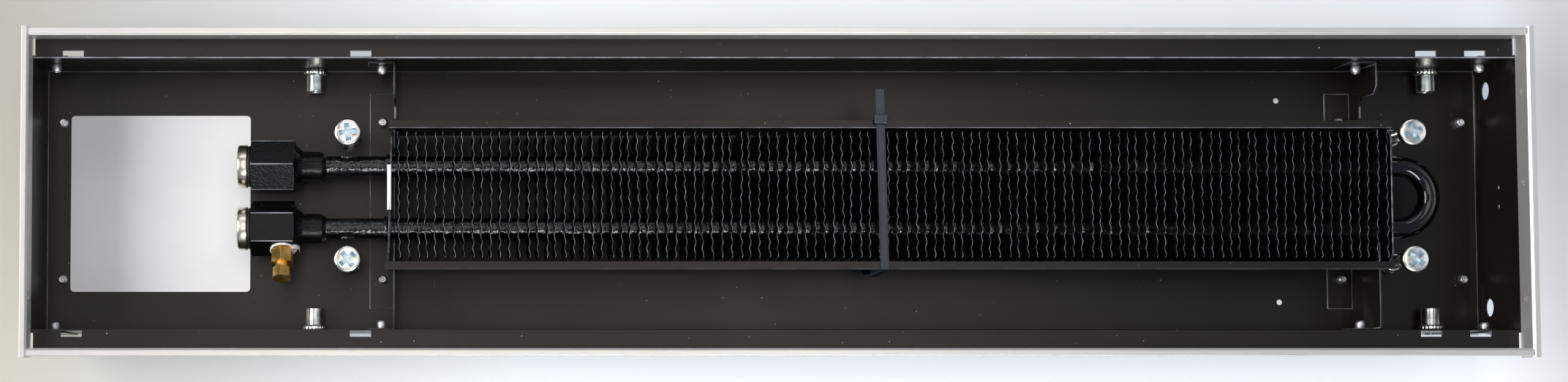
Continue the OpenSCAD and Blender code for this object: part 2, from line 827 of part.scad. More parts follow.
// Fasteners
module levelling_bolt(x, y) {
    head_r = bolt_head_d / 2;
    crown_r = head_r - bolt_head_h / 2;
    translate([x, y, bolt_tip_h]) difference() {
        union() {
            cylinder(d = bolt_d, h = bolt_l + eps);
            translate([0, 0, bolt_l]) rotate_extrude() {
                square([crown_r, bolt_head_h]);
                square([head_r, bolt_head_h / 2]);
                translate([crown_r, bolt_head_h / 2]) intersection() {
                    circle(r = bolt_head_h / 2);
                    square(bolt_head_h);
                }
            }
        }
        translate([0, 0, bolt_l + bolt_head_h - recess_depth]) {
            block([-recess_l / 2, -recess_w / 2, 0], [recess_l / 2, recess_w / 2, bolt_head_h]);
            block([-recess_w / 2, -recess_l / 2, 0], [recess_w / 2, recess_l / 2, bolt_head_h]);
        }
    }
}

module levelling_bolt_left_front() {
    color(zinc) levelling_bolt(bolt_left, -bolt_y);
}

module levelling_bolt_left_rear() {
    color(zinc) levelling_bolt(bolt_left, bolt_y);
}

module levelling_bolt_right_front() {
    color(zinc) levelling_bolt(bolt_right, -bolt_y);
}

module levelling_bolt_right_rear() {
    color(zinc) levelling_bolt(bolt_right, bolt_y);
}

// A rivet nut along +Z: its flange ends at 0, the sheet lies on it and the body stands l above the sheet
module rivet_nut(l) {
    bulge_end = sheet_t + nut_bulge_l;
    rotate_extrude() polygon([
        [nut_bore_r, -sheet_t], [nut_flange_r, -sheet_t], [nut_flange_r, 0], [nut_body_r, 0],
        [nut_body_r, sheet_t], [nut_bulge_r - nut_bulge / 2, sheet_t],
        [nut_bulge_r, sheet_t + nut_bulge_l / 2], [nut_bulge_r, bulge_end - nut_bulge / 2],
        [nut_body_r, bulge_end], [nut_body_r, sheet_t + l], [nut_bore_r, sheet_t + l]
    ]);
}

module floor_rivet_nuts() {
    color(zinc) for (x = [bolt_left, bolt_right], y = [-bolt_y, bolt_y])
        translate([x, y, floor_bottom]) rivet_nut(floor_nut_l);
}

module wall_rivet_nuts() {
    color(zinc) for (x = wall_nut_xs) both_sides()
        translate([x, wall_out, wall_nut_h]) rotate([90, 0, 0]) rivet_nut(wall_nut_l);
}

// A blind rivet along +Z through a stack of sheets that starts at 0
module blind_rivet(stack, flush) {
    head_r = rivet_head_d / 2;
    shank_r = rivet_d / 2;
    tail_r = rivet_tail_d / 2;
    top = stack + rivet_tail_l;
    rounding = (tail_r - rivet_stem_d / 2) / 2;
    difference() {
        union() {
            if (flush) cylinder(r1 = head_r, r2 = shank_r, h = sheet_t);
            else translate([0, 0, -rivet_head_t])
                cylinder(r1 = head_r - rivet_head_t / 2, r2 = head_r, h = rivet_head_t);
            cylinder(r = shank_r, h = top - rounding);
            translate([0, 0, stack]) cylinder(r = tail_r, h = rivet_tail_l - rounding);
            translate([0, 0, top - rounding]) cylinder(r1 = tail_r, r2 = tail_r - rounding, h = rounding);
        }
        translate([0, 0, top - rivet_stem_depth]) cylinder(d = rivet_stem_d, h = rivet_stem_depth + eps);
    }
}

module floor_rivets() {
    color(zinc) both_sides() {
        for (x = [-end_rivet_x, end_rivet_x]) translate([x, rivet_y, 0]) blind_rivet(2 * sheet_t, true);
        for (x = bracket_rivet_xs) translate([x, rivet_y, floor_bottom]) blind_rivet(2 * sheet_t, false);
    }
}

module wall_rivets() {
    color(zinc) both_sides() {
        for (x = [-end_rivet_x, end_rivet_x])
            translate([x, wall_out + sheet_t, wall_rivet_h]) rotate([90, 0, 0])
                blind_rivet(2 * sheet_t, false);
        for (x = bracket_rivet_xs)
            translate([x, wall_out, wall_rivet_h]) rotate([90, 0, 0]) blind_rivet(2 * sheet_t, false);
    }
}

module floor_label() {
    color(paper) translate([label_from_end - half_l, -label_shift - label_w / 2, floor_top])
        linear_extrude(label_t) translate([label_l / 2, 0]) rounded_frame(label_l, label_w, label_r);
}

trough();
end_plate_left();
end_plate_right();
frame_rail_front();
frame_rail_rear();
frame_rail_left();
frame_rail_right();
support_bracket_left();
support_bracket_right();
fin_pack();
coil_end_plate_left();
coil_end_plate_right();
coil_side_plate_front();
coil_side_plate_rear();
hairpin_tube();
fitting_front();
fitting_rear();
plug_front();
plug_rear();
seal_front();
seal_rear();
vent_body();
vent_cap();
vent_tape();
cable_tie();
levelling_bolt_left_front();
levelling_bolt_left_rear();
levelling_bolt_right_front();
levelling_bolt_right_rear();
floor_rivet_nuts();
wall_rivet_nuts();
floor_rivets();
wall_rivets();
floor_label();
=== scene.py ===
# %% [markdown]
# # A trench convector without its grille
#
# A trench convector is a low heater that is sunk into a floor: a folded black trough, a light metal
# frame round its rim, and a finned pipe that warms the air inside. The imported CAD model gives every
# piece its place and its size. This script dresses each piece for a picture: it rounds the folds,
# waves the fins, cuts the threads and gives each surface the finish of its real material.

# %% Load the frame
import math
import random

import bmesh
import bpy
from mathutils import Matrix, Vector, noise


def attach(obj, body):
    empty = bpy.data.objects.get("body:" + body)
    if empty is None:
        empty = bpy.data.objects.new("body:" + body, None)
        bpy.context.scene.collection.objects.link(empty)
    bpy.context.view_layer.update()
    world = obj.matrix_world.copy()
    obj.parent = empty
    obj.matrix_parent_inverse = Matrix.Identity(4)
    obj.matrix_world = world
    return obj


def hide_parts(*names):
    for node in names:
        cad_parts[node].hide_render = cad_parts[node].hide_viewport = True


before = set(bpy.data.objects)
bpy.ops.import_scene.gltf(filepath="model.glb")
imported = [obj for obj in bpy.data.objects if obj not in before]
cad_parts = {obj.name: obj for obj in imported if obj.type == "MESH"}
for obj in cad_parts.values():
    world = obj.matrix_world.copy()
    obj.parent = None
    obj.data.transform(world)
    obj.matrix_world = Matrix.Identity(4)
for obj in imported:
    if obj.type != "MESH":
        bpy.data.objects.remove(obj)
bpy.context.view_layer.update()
scene = bpy.context.scene
scene.view_settings.view_transform = "Standard"
MM = 0.001

# %% [markdown]
# ## Camera
#
# The heater is seen from straight above, but from a point to the left of its middle and in front of
# it, as if the picture were cut from the corner of a larger one. A lens shift gives that: it slides
# the film to the part of the view that matters and keeps parallel rails parallel. Up and down the
# shift stays small, because a view from another side keeps it, and a slight tilt does the rest.

# %% Camera
camera_data = bpy.data.cameras.new("camera")
camera_data.sensor_width = 36
camera_data.lens = 53.73
camera_data.shift_x, camera_data.shift_y = 0.2227, 0.06
camera = bpy.data.objects.new("camera", camera_data)
camera.location = Vector((-204.0, -124.3, 1458.1)) * MM
camera.rotation_euler = (math.radians(2.83), 0, 0)
scene.collection.objects.link(camera)
scene.camera = camera
print("camera at", [round(c / MM) for c in camera.location], "mm")

# %% [markdown]
# ## Nodes in a few words
#
# Each finish below is a small tree of shader nodes. One function turns a colour code as seen on a
# screen into the linear numbers that a socket takes, one adds a node with its settings and its
# links, one starts a finish from its plain values, and one plugs the results into its shader.
# Sizes are written in millimetres, because that is how a surface is judged: a noise texture of
# scale 1 has blotches about one metre wide.

# %% Node helpers
def colour(code):
    """A screen colour such as #1f1d1c, as the linear values that a colour socket takes."""
    parts = [int(code[i:i + 2], 16) / 255 for i in (1, 3, 5)]
    return [*(p / 12.92 if p <= 0.04045 else ((p + 0.055) / 1.055) ** 2.4 for p in parts), 1]


def per_mm(size):
    """The texture scale at which one blotch is about this many millimetres wide."""
    return 1 / (size * MM)


def add(tree, kind, inputs=None, **settings):
    """Adds a node. Settings are its options; inputs are plain values or sockets to link from."""
    node = tree.nodes.new("ShaderNode" + kind)
    for option, value in settings.items():
        setattr(node, option, value)
    for socket, value in (inputs or {}).items():
        if isinstance(value, bpy.types.NodeSocket):
            tree.links.new(value, node.inputs[socket])
        else:
            node.inputs[socket].default_value = value
    return node


def start_finish(name, code, roughness, metallic=0.0, **more):
    """A new material with its plain values set; returns it, its tree, shader and coordinates."""
    material = bpy.data.materials.new(name)
    material.use_nodes = True
    tree = material.node_tree
    shader = tree.nodes["Principled BSDF"]
    values = {"Base Color": colour(code), "Roughness": roughness, "Metallic": metallic, **more}
    for socket, value in values.items():
        shader.inputs[socket].default_value = value
    print("finish:", name)
    return material, tree, shader, add(tree, "TexCoord").outputs["Object"]


def plug_in(tree, shader, **sockets):
    """Links node outputs to the shader's sockets: base, roughness, normal."""
    names = {"base": "Base Color", "roughness": "Roughness", "normal": "Normal"}
    for key, output in sockets.items():
        tree.links.new(output, shader.inputs[names[key]])


# %% [markdown]
# ## Floor, backdrop and lamps
#
# A plain studio: a pale floor, a pale backdrop, and soft boxes. The floor is lit like anything
# else, so it keeps the heater's shadow, but rays that come straight from the camera or from a
# mirror also see a little of its own pale glow, as if a large white card stood round the set.
# Near the heater the paper is painted darker at both ends, as painted shade, and its glow is
# stronger in front of it than behind, as painted light; further out it is plain.
#
# Most light comes from the left, so the left and middle turn brighter than the right. The lamp
# overhead is what the rails mirror. A narrow strip high at the front is seen in reflections only:
# it draws the sparkling lines along the painted tubes. A spot lamp would do it too, but its small
# round highlight never looks like a window or a lamp tube.

# %% Floor and backdrop
stage_finish, tree, shader, place = start_finish("pale_studio_paper", "#d8d8d6", 0.9)
rays = add(tree, "LightPath")
seen = add(tree, "Math", {0: rays.outputs["Is Camera Ray"], 1: rays.outputs["Is Glossy Ray"]},
           operation="MAXIMUM")
seen = add(tree, "Math", {0: seen.outputs[0], 1: rays.outputs["Is Transmission Ray"]},
           operation="MAXIMUM")
across = add(tree, "SeparateXYZ", {0: place})
# Painted shade: near the heater the paper's colour turns darker towards both of its ends.
shade = add(tree, "MapRange", {0: across.outputs[0], 1: -0.5, 2: 0.5})
tone = add(tree, "ValToRGB", {0: shade.outputs[0]})
for stop, code in ((0.35, "#dfe3e6"), (0.955, "#dfe3e6")):
    tone.color_ramp.elements.new(stop).color = colour(code)
tone.color_ramp.elements[0].color = colour("#a19e92")
tone.color_ramp.elements[-1].color = colour("#c6c5c6")
# Painted light: the glow is stronger in front of the heater than behind it, and evens out far off.
painted_light_strength = add(tree, "MapRange", {0: across.outputs[1], 1: -0.1, 2: 0.1, 3: 0.71, 4: 0.26})
reach = add(tree, "VectorMath", {0: place}, operation="LENGTH")
away = add(tree, "MapRange", {0: reach.outputs["Value"], 1: 0.5, 2: 1.1})
tone = add(tree, "Mix", {0: away.outputs[0], 6: tone.outputs[0], 7: colour("#d8d8d6")},
           data_type="RGBA")
painted_light_strength = add(tree, "Mix", {0: away.outputs[0], 2: painted_light_strength.outputs[0], 3: 0.3})
plug_in(tree, shader, base=tone.outputs[2])
glow = add(tree, "Emission", {"Color": tone.outputs[2], "Strength": painted_light_strength.outputs[0]})
both = add(tree, "AddShader", {0: shader.outputs[0], 1: glow.outputs[0]})
either = add(tree, "MixShader", {0: seen.outputs[0], 1: shader.outputs[0], 2: both.outputs[0]})
tree.links.new(either.outputs[0], tree.nodes["Material Output"].inputs["Surface"])


def stage_sheet(name, finish, width, depth, middle):
    """A level rectangle that belongs to the studio; sizes and places in metres."""
    bm = bmesh.new()
    size = Matrix.Diagonal((width, depth, 1, 1))
    bmesh.ops.create_grid(bm, x_segments=1, y_segments=1, size=0.5,
                          matrix=Matrix.Translation(middle) @ size)
    mesh = bpy.data.meshes.new(name)
    bm.to_mesh(mesh)
    bm.free()
    mesh.materials.append(finish)
    obj = bpy.data.objects.new(name, mesh)
    scene.collection.objects.link(obj)
    return obj


stage_sheet("studio_floor", stage_finish, 12, 12, (0, 0, 0))

world = bpy.data.worlds.new("backdrop")
scene.world = world
world.use_nodes = True
tree = world.node_tree
rays = add(tree, "LightPath")
lit = tree.nodes["Background"]
lit.inputs["Color"].default_value = colour("#dae4fa")
lit.inputs["Strength"].default_value = 0.36
shown = add(tree, "Background", {"Color": colour("#eeece7"), "Strength": 0.9})
swap = add(tree, "MixShader", {0: rays.outputs["Is Camera Ray"], 1: lit.outputs[0],
                               2: shown.outputs[0]})
tree.links.new(swap.outputs[0], tree.nodes["World Output"].inputs["Surface"])
print("floor and backdrop are set")

# %% Lamps
def softbox(name, size, watts, at, aim, tint):
    """A rectangular area lamp that faces a point; sizes and places in metres."""
    data = bpy.data.lights.new(name, "AREA")
    data.shape = "RECTANGLE"
    data.size, data.size_y = size
    data.energy = watts
    data.color = colour(tint)[:3]
    lamp = bpy.data.objects.new(name, data)
    lamp.location = at
    lamp.rotation_euler = (Vector(aim) - Vector(at)).to_track_quat("-Z", "Y").to_euler()
    scene.collection.objects.link(lamp)
    print(name, "radiance", round(watts / (math.pi * size[0] * size[1]), 2))
    return lamp


softbox("overhead", (1.4, 1.6), 13.6, (0.02, 0.35, 2.4), (0.02, 0.35, 0), "#fff6ec")
softbox("left_lamp", (1.6, 1.2), 52, (-2.1, 0.3, 1.7), (0, 0, 0), "#ffffff")
softbox("right_lamp", (1.6, 1.2), 5, (2.1, 0.3, 1.9), (0, 0, 0), "#f2f6ff")
softbox("rear_lamp", (2.6, 0.9), 10, (0, 2.4, 2.0), (0, 0, 0), "#ffffff")
softbox("front_lamp", (2.6, 0.5), 9, (0, -2.2, 0.5), (0, 0, 0), "#ffffff")
strip = softbox("front_strip", (1.2, 0.28), 20, (0.15, -1.2, 1.45), (0, 0, 0), "#ffffff")
strip.visible_diffuse = False

# %% [markdown]
# ## Dark flag
#
# A glossy black surface mirrors whatever hangs over it, and over a heater on the floor that is a
# camera on its stand. Photographers call a black card in that place a flag. Here it is one dark
# sheet that only mirrors can see: it throws no shadow and takes no light from anything.

# %% Dark flag
flag_finish, *_ = start_finish("flag_cloth", "#0c0c0c", 0.9)
dark_flag = stage_sheet("dark_flag", flag_finish, 0.37, 0.3, (-0.085, 0.17, 1.55))
dark_flag.visible_camera = dark_flag.visible_diffuse = dark_flag.visible_shadow = False
print("dark flag:", [round(c, 3) for c in dark_flag.dimensions], "m")

# %% [markdown]
# ## Modelling helpers
#
# All modelling is done in millimetres and scaled to metres once, when a piece is finished. A flat
# sheet part is easiest as a copy of its CAD mesh: the loose triangles are merged, the flat faces
# are joined up again, and then folds and cut edges can be rounded by choosing them by place. Round
# parts are spun from half an outline, as on a lathe.

# %% Modelling helpers
def copy_of(node, keep=lambda face: False):
    """A merged copy of a CAD node's mesh in millimetres, with its flat faces joined.

    Faces that the test keeps stay in triangles.
    """
    bm = bmesh.new()
    bm.from_mesh(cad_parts[node].data)
    bmesh.ops.scale(bm, vec=(1 / MM,) * 3, verts=bm.verts)
    bmesh.ops.remove_doubles(bm, verts=bm.verts, dist=0.002)
    edges = [e for e in bm.edges if not all(keep(f) for f in e.link_faces)]
    bmesh.ops.dissolve_limit(bm, angle_limit=math.radians(0.5), verts=bm.verts, edges=edges)
    return bm


def along_x(face):
    """A test for faces that look along X, such as the open ends of a trough."""
    return abs(face.normal.x) > 0.9


def at(**lines):
    """A test for edges whose two ends lie at these distances from the middle planes."""
    axes = [("xyz".index(axis), value) for axis, value in lines.items()]
    return lambda a, b: all(abs(abs(p[i]) - value) < 0.06 for p in (a, b) for i, value in axes)


def soften(bm, radius, pick, segments=3, finish=0):
    """Rounds the sharp edges that the test picks by their two ends; the new faces take a finish."""
    edges = [e for e in bm.edges if e.calc_face_angle(0) > 0.5 and pick(*(v.co for v in e.verts))]
    made = bmesh.ops.bevel(bm, geom=edges, offset=radius, offset_type="OFFSET", segments=segments,
                           profile=0.5, affect="EDGES", material=-1, clamp_overlap=False)
    for face in made["faces"]:
        face.material_index = finish


def paint_glint_on_edge(bm, pick, radius=0.22):
    """Breaks cut edges and gives the new faces the second finish, as a painted highlight."""
    soften(bm, radius, pick, segments=1, finish=1)


def lathe(bm, outline, place=Matrix(), steps=28):
    """Spins (radius, height) points about Z, closes the poles and moves the result into place."""
    before = set(bm.verts)
    points = [bm.verts.new((r, 0, h)) for r, h in outline]
    edges = [bm.edges.new(pair) for pair in zip(points, points[1:])]
    bmesh.ops.spin(bm, geom=points + edges, angle=math.tau, steps=steps, axis=(0, 0, 1),
                   use_merge=True)
    made = [v for v in bm.verts if v not in before]
    bmesh.ops.remove_doubles(bm, verts=made, dist=0.0005)
    made = [v for v in bm.verts if v not in before]
    bmesh.ops.recalc_face_normals(bm, faces=list({f for v in made for f in v.link_faces}))
    bmesh.ops.transform(bm, matrix=place, verts=made)
    return made


def carve(bm, cutter):
    """Cuts one closed shape out of another with a Boolean modifier."""
    pair = []
    for shape in (bm, cutter):
        mesh = bpy.data.meshes.new("carve")
        shape.to_mesh(mesh)
        shape.free()
        pair.append(bpy.data.objects.new("carve", mesh))
        scene.collection.objects.link(pair[-1])
    cut = pair[0].modifiers.new("cut", "BOOLEAN")
    cut.object, cut.operation, cut.solver, cut.use_self = pair[1], "DIFFERENCE", "EXACT", True
    bpy.context.view_layer.update()
    result = bmesh.new()
    result.from_object(pair[0], bpy.context.evaluated_depsgraph_get())
    for obj in pair:
        bpy.data.meshes.remove(obj.data)
    return result


def piece(name, bm, finish, slot, *nodes, body="housing", sharp=35, flat=False):
    """Makes a shape drawn in millimetres an object that stands for CAD nodes on a body."""
    bmesh.ops.scale(bm, vec=(MM,) * 3, verts=bm.verts)
    mesh = bpy.data.meshes.new(name)
    bm.to_mesh(mesh)
    bm.free()
    for material in finish if isinstance(finish, list) else [finish]:
        mesh.materials.append(material)
    mesh.shade_smooth()
    mesh.set_sharp_from_angle(angle=math.radians(sharp))
    obj = bpy.data.objects.new(name, mesh)
    scene.collection.objects.link(obj)
    if flat:
        even = obj.modifiers.new("flat_faces_stay_flat", "WEIGHTED_NORMAL")
        even.keep_sharp, even.weight = True, 100
    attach(obj, body)
    if nodes:
        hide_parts(*nodes)
    print("piece:", name, len(mesh.polygons), "faces")
    return obj


# %% [markdown]
# ## Powder coat
#
# The trough, the end plates and the brackets are steel sheet in a thin black polyester powder
# coat. The powder melts into a skin that is a little warm and uneven in colour, with a fine
# pebble that softens reflections, and dust settles on it as pale specks. Noise at three sizes
# gives clouds, grit and pebble, and Voronoi cells place the specks: only some cells get one.

# %% Powder coat
def specks(tree, place, spacing, rare, size):
    """Dust: dots in some of the cells that lie this many millimetres apart.

    Rare is the share of cells that stay empty. Returns the dots, and a second random number for
    each cell.
    """
    cells = add(tree, "TexVoronoi", {"Vector": place, "Scale": per_mm(spacing)})
    chance = add(tree, "SeparateColor", {0: cells.outputs["Color"]})
    radius = add(tree, "MapRange", {0: chance.outputs[0], 1: rare, 2: 1.0, 3: 0.0, 4: size})
    dots = add(tree, "Math", {0: cells.outputs["Distance"], 1: radius.outputs[0]},
               operation="LESS_THAN")
    return dots.outputs[0], chance.outputs[1]


# Polyester powder coat: brown-black, half matt, but mirror-like at a low angle.
powder_coat, tree, shader, place = start_finish("black_powder_coat", "#171412", 0.3,
                                                  **{"Specular IOR Level": 0.32})
clouds = add(tree, "TexNoise", {"Vector": place, "Scale": per_mm(60), "Detail": 3})
grit = add(tree, "TexNoise", {"Vector": place, "Scale": per_mm(1.1), "Detail": 2})
tone = add(tree, "Mix", {0: clouds.outputs[0], 6: colour("#151210"), 7: colour("#1c1815")},
           data_type="RGBA")
tone = add(tree, "Mix", {0: grit.outputs[0], 6: tone.outputs[2], 7: colour("#181412")},
           data_type="RGBA")
dots, chance = specks(tree, place, 4, 0.7, 0.1)
speck = add(tree, "Math", {0: dots, 1: chance}, operation="MULTIPLY")
tone = add(tree, "Mix", {0: speck.outputs[0], 6: tone.outputs[2], 7: colour("#c9c5be")},
           data_type="RGBA")
gloss = add(tree, "MapRange", {0: clouds.outputs[0], 1: 0.3, 2: 0.7, 3: 0.27, 4: 0.34})
pebble = add(tree, "TexNoise", {"Vector": place, "Scale": per_mm(1.4), "Detail": 1})
bump = add(tree, "Bump", {"Height": pebble.outputs[0], "Strength": 0.5, "Distance": 0.02 * MM})
plug_in(tree, shader, base=tone.outputs[2], roughness=gloss.outputs[0], normal=bump.outputs[0])

# A painted highlight: grey on broken edges and folds, where they would catch a thin line of light.
painted_edge_glint, tree, shader, place = start_finish("painted_edge_glint_coat", "#85888c", 0.45)
patches = add(tree, "TexNoise", {"Vector": place, "Scale": per_mm(16), "Detail": 3})
tone = add(tree, "MapRange", {0: patches.outputs[0], 1: 0.35, 2: 0.65})
tone = add(tree, "Mix", {0: tone.outputs[0], 6: colour("#5f6165"), 7: colour("#a4a7ac")},
           data_type="RGBA")
plug_in(tree, shader, base=tone.outputs[2])

# %% [markdown]
# ## Coil enamel
#
# The coil was dipped in a glossy black enamel after it was put together. Thick paint runs into
# lumps between the fins, so a low, wide bump breaks its highlights into sparkles. It ran smooth on
# the return bend and has a finer grain on the fittings, so both get a version of their own. The
# thin fin edges are painted light grey, a painted highlight where they catch the light.

# %% Coil enamel
# Dipped enamel: deep black and wet-looking, lumpy like orange peel.
coil_enamel, tree, shader, place = start_finish("black_dip_enamel", "#0a0b0c", 0.1,
                                                 **{"Specular IOR Level": 0.55})
lumps = add(tree, "TexNoise", {"Vector": place, "Scale": per_mm(2.2), "Detail": 2})
bump = add(tree, "Bump", {"Height": lumps.outputs[0], "Strength": 1.0, "Distance": 0.42 * MM})
smudge = add(tree, "TexNoise", {"Vector": place, "Scale": per_mm(14), "Detail": 3})
gloss = add(tree, "MapRange", {0: smudge.outputs[0], 1: 0.35, 2: 0.7, 3: 0.06, 4: 0.2})
dots, _ = specks(tree, place, 5, 0.7, 0.06)
tone = add(tree, "Mix", {0: dots, 6: colour("#0b0b0c"), 7: colour("#77736c")}, data_type="RGBA")
plug_in(tree, shader, base=tone.outputs[2], roughness=gloss.outputs[0], normal=bump.outputs[0])

# The same enamel on the return bend, where it ran smooth.
bend_enamel, tree, shader, place = start_finish("bend_enamel", "#08090a", 0.1)
ripple = add(tree, "TexNoise", {"Vector": place, "Scale": per_mm(9), "Detail": 1})
bump = add(tree, "Bump", {"Height": ripple.outputs[0], "Strength": 0.4, "Distance": 0.15 * MM})
plug_in(tree, shader, normal=bump.outputs[0])

# The same enamel on the fittings: duller and finer in its grain, with more specks of dust in it.
fitting_enamel, tree, shader, place = start_finish("fitting_enamel", "#0a0a0b", 0.28,
                                                    **{"Specular IOR Level": 0.2})
peel = add(tree, "TexNoise", {"Vector": place, "Scale": per_mm(1.3), "Detail": 3})
bump = add(tree, "Bump", {"Height": peel.outputs[0], "Strength": 1.0, "Distance": 0.17 * MM})
dots, _ = specks(tree, place, 2.4, 0.72, 0.13)
tone = add(tree, "Mix", {0: dots, 6: colour("#0a0a0b"), 7: colour("#8f8c86")}, data_type="RGBA")
plug_in(tree, shader, base=tone.outputs[2], normal=bump.outputs[0])

# The same enamel on the fins' flanks: thinner and duller.
fin_enamel, tree, shader, place = start_finish("fin_enamel", "#0a0a0b", 0.35)
film = add(tree, "TexNoise", {"Vector": place, "Scale": per_mm(5), "Detail": 3})
gloss = add(tree, "MapRange", {0: film.outputs[0], 1: 0.3, 2: 0.7, 3: 0.25, 4: 0.5})
plug_in(tree, shader, roughness=gloss.outputs[0])

# Fin edges: a painted highlight, light grey in uneven patches along each edge; the coil end plates'
# upper edges get it too.
fin_edge, tree, shader, place = start_finish("fin_edge_enamel", "#4c4d4e", 0.45)
glint = add(tree, "TexNoise", {"Vector": place, "Scale": per_mm(5), "Detail": 4})
tone = add(tree, "MapRange", {0: glint.outputs[0], 1: 0.4, 2: 0.68})
tone = add(tree, "Mix", {0: tone.outputs[0], 6: colour("#2b2e32"), 7: colour("#9da2aa")},
           data_type="RGBA")
plug_in(tree, shader, base=tone.outputs[2])

# Painted glint: bright white, finely mottled, standing for a lamp's reflection on a bent edge.
painted_glint_sheet, tree, shader, place = start_finish("painted_glint_bent_sheet", "#f0f1ef", 0.4, 0.2)
glint_mottle = add(tree, "TexNoise", {"Vector": place, "Scale": per_mm(1.5), "Detail": 3})
tone = add(tree, "Mix", {0: glint_mottle.outputs[0], 6: colour("#dcdddb"), 7: colour("#f8f9f7")},
           data_type="RGBA")
plug_in(tree, shader, base=tone.outputs[2])

# %% [markdown]
# ## Bare and plated metals
#
# The rails are extruded aluminium with a clear anodic film: pale, satin, with faint draw lines
# along the bar. That film scatters light as paint does, so the rails are only partly metallic.
# Bolts and nuts are zinc plated, which is bluish with yellowish clouds; the rivets are dull
# aluminium, the plugs are nickel plated and the vent is plain brass. These are fully metallic, so
# their colour is the colour of their reflections, and roughness and bump tell them apart.

# %% Metals
def drawn_rail(name, stretch):
    """Anodised aluminium bar: satin, with fine lines along the way it was drawn."""
    material, tree, shader, place = start_finish(name, "#dcdad5", 0.34, 0.58)
    along = add(tree, "Mapping", {"Vector": place, "Scale": stretch})
    lines = add(tree, "TexNoise", {"Vector": along.outputs[0], "Scale": per_mm(0.7), "Detail": 3})
    cloud = add(tree, "TexNoise", {"Vector": place, "Scale": per_mm(22), "Detail": 3})
    tone = add(tree, "Mix", {0: cloud.outputs[0], 6: colour("#d4d1ca"), 7: colour("#dfddd8")},
               data_type="RGBA")
    gloss = add(tree, "MapRange", {0: lines.outputs[0], 1: 0.3, 2: 0.7, 3: 0.28, 4: 0.42})
    bump = add(tree, "Bump", {"Height": lines.outputs[0], "Strength": 0.3, "Distance": 0.03 * MM})
    plug_in(tree, shader, base=tone.outputs[2], roughness=gloss.outputs[0], normal=bump.outputs[0])
    return material


long_rail_metal = drawn_rail("anodised_aluminium_long", (0.02, 1, 1))
end_rail_metal = drawn_rail("anodised_aluminium_end", (1, 0.02, 1))


def plated(name, dark, light, roughness, cloud_mm, lump_mm, lump_depth):
    """A plated or bare metal with clouds of tone and the small dents of tumbling."""
    material, tree, shader, place = start_finish(name, light, roughness, 1.0)
    cloud = add(tree, "TexNoise", {"Vector": place, "Scale": per_mm(cloud_mm), "Detail": 3})
    tone = add(tree, "MapRange", {0: cloud.outputs[0], 1: 0.35, 2: 0.65})
    tone = add(tree, "Mix", {0: tone.outputs[0], 6: colour(dark), 7: colour(light)},
               data_type="RGBA")
    gloss = add(tree, "MapRange", {0: cloud.outputs[0], 1: 0.3, 2: 0.7, 3: roughness * 0.75,
                                   4: roughness * 1.3})
    dents = add(tree, "TexNoise", {"Vector": place, "Scale": per_mm(lump_mm), "Detail": 2})
    bump = add(tree, "Bump", {"Height": dents.outputs[0], "Strength": 0.6,
                              "Distance": lump_depth * MM})
    plug_in(tree, shader, base=tone.outputs[2], roughness=gloss.outputs[0], normal=bump.outputs[0])
    return material


# Zinc plate, passivated: bluish white with straw clouds.
zinc_plate = plated("zinc_plate", "#d6d7cf", "#f6f6ef", 0.22, 5, 1.5, 0.015)
# The same plate in the cross recess, in a darker, bluer tone and rougher.
recess_zinc = plated("recess_zinc", "#a9bcc6", "#d6e2e6", 0.4, 3, 1.2, 0.02)
# Plain aluminium, swollen and dulled by the riveting.
rivet_metal = plated("rivet_aluminium", "#c9cacb", "#f0f1f2", 0.45, 3, 1.0, 0.03)
# Nickel plate: warmer and more mirror-like.
nickel_plate = plated("nickel_plate", "#cdc6b4", "#ece7da", 0.24, 8, 2.0, 0.03)
# Turned brass, a little dull: golden olive.
vent_brass = plated("turned_brass", "#cfa04a", "#f0cb7c", 0.34, 6, 1.5, 0.015)

# %% [markdown]
# ## Rubber, tape, nylon and film
#
# The small soft parts are dielectrics: the ring behind each plug is black rubber, the tape on the
# vent's thread is white plastic film that shines a little, the cable tie is moulded nylon and
# the label is a plain plastic film on the floor of the trough. They are small or plain, so each
# makes do with a colour, a roughness and one noise.

# %% Rubber, tape, nylon and film
# Nitrile rubber: dark and dull with a soft sheen.
seal_rubber, tree, shader, place = start_finish("nitrile_rubber", "#161616", 0.5)
skin = add(tree, "TexNoise", {"Vector": place, "Scale": per_mm(1.0), "Detail": 2})
bump = add(tree, "Bump", {"Height": skin.outputs[0], "Strength": 0.4, "Distance": 0.05 * MM})
plug_in(tree, shader, normal=bump.outputs[0])

# Thread-seal tape: white, stretched and wrinkled along its length.
sealing_tape, tree, shader, place = start_finish("thread_seal_tape", "#ecebe6", 0.45)
fibre = add(tree, "TexNoise", {"Vector": place, "Scale": per_mm(1.2), "Detail": 3})
tone = add(tree, "Mix", {0: fibre.outputs[0], 6: colour("#d5d3cc"), 7: colour("#f4f3ef")},
           data_type="RGBA")
bump = add(tree, "Bump", {"Height": fibre.outputs[0], "Strength": 0.7, "Distance": 0.2 * MM})
plug_in(tree, shader, base=tone.outputs[2], normal=bump.outputs[0])

# Moulded nylon: dark grey, satin, faintly mottled.
tie_nylon, tree, shader, place = start_finish("moulded_nylon", "#1d1f23", 0.34)
mottle = add(tree, "TexNoise", {"Vector": place, "Scale": per_mm(3), "Detail": 2})
tone = add(tree, "Mix", {0: mottle.outputs[0], 6: colour("#1a1e26"), 7: colour("#2a303a")},
           data_type="RGBA")
bump = add(tree, "Bump", {"Height": mottle.outputs[0], "Strength": 0.3, "Distance": 0.08 * MM})
plug_in(tree, shader, base=tone.outputs[2], normal=bump.outputs[0])

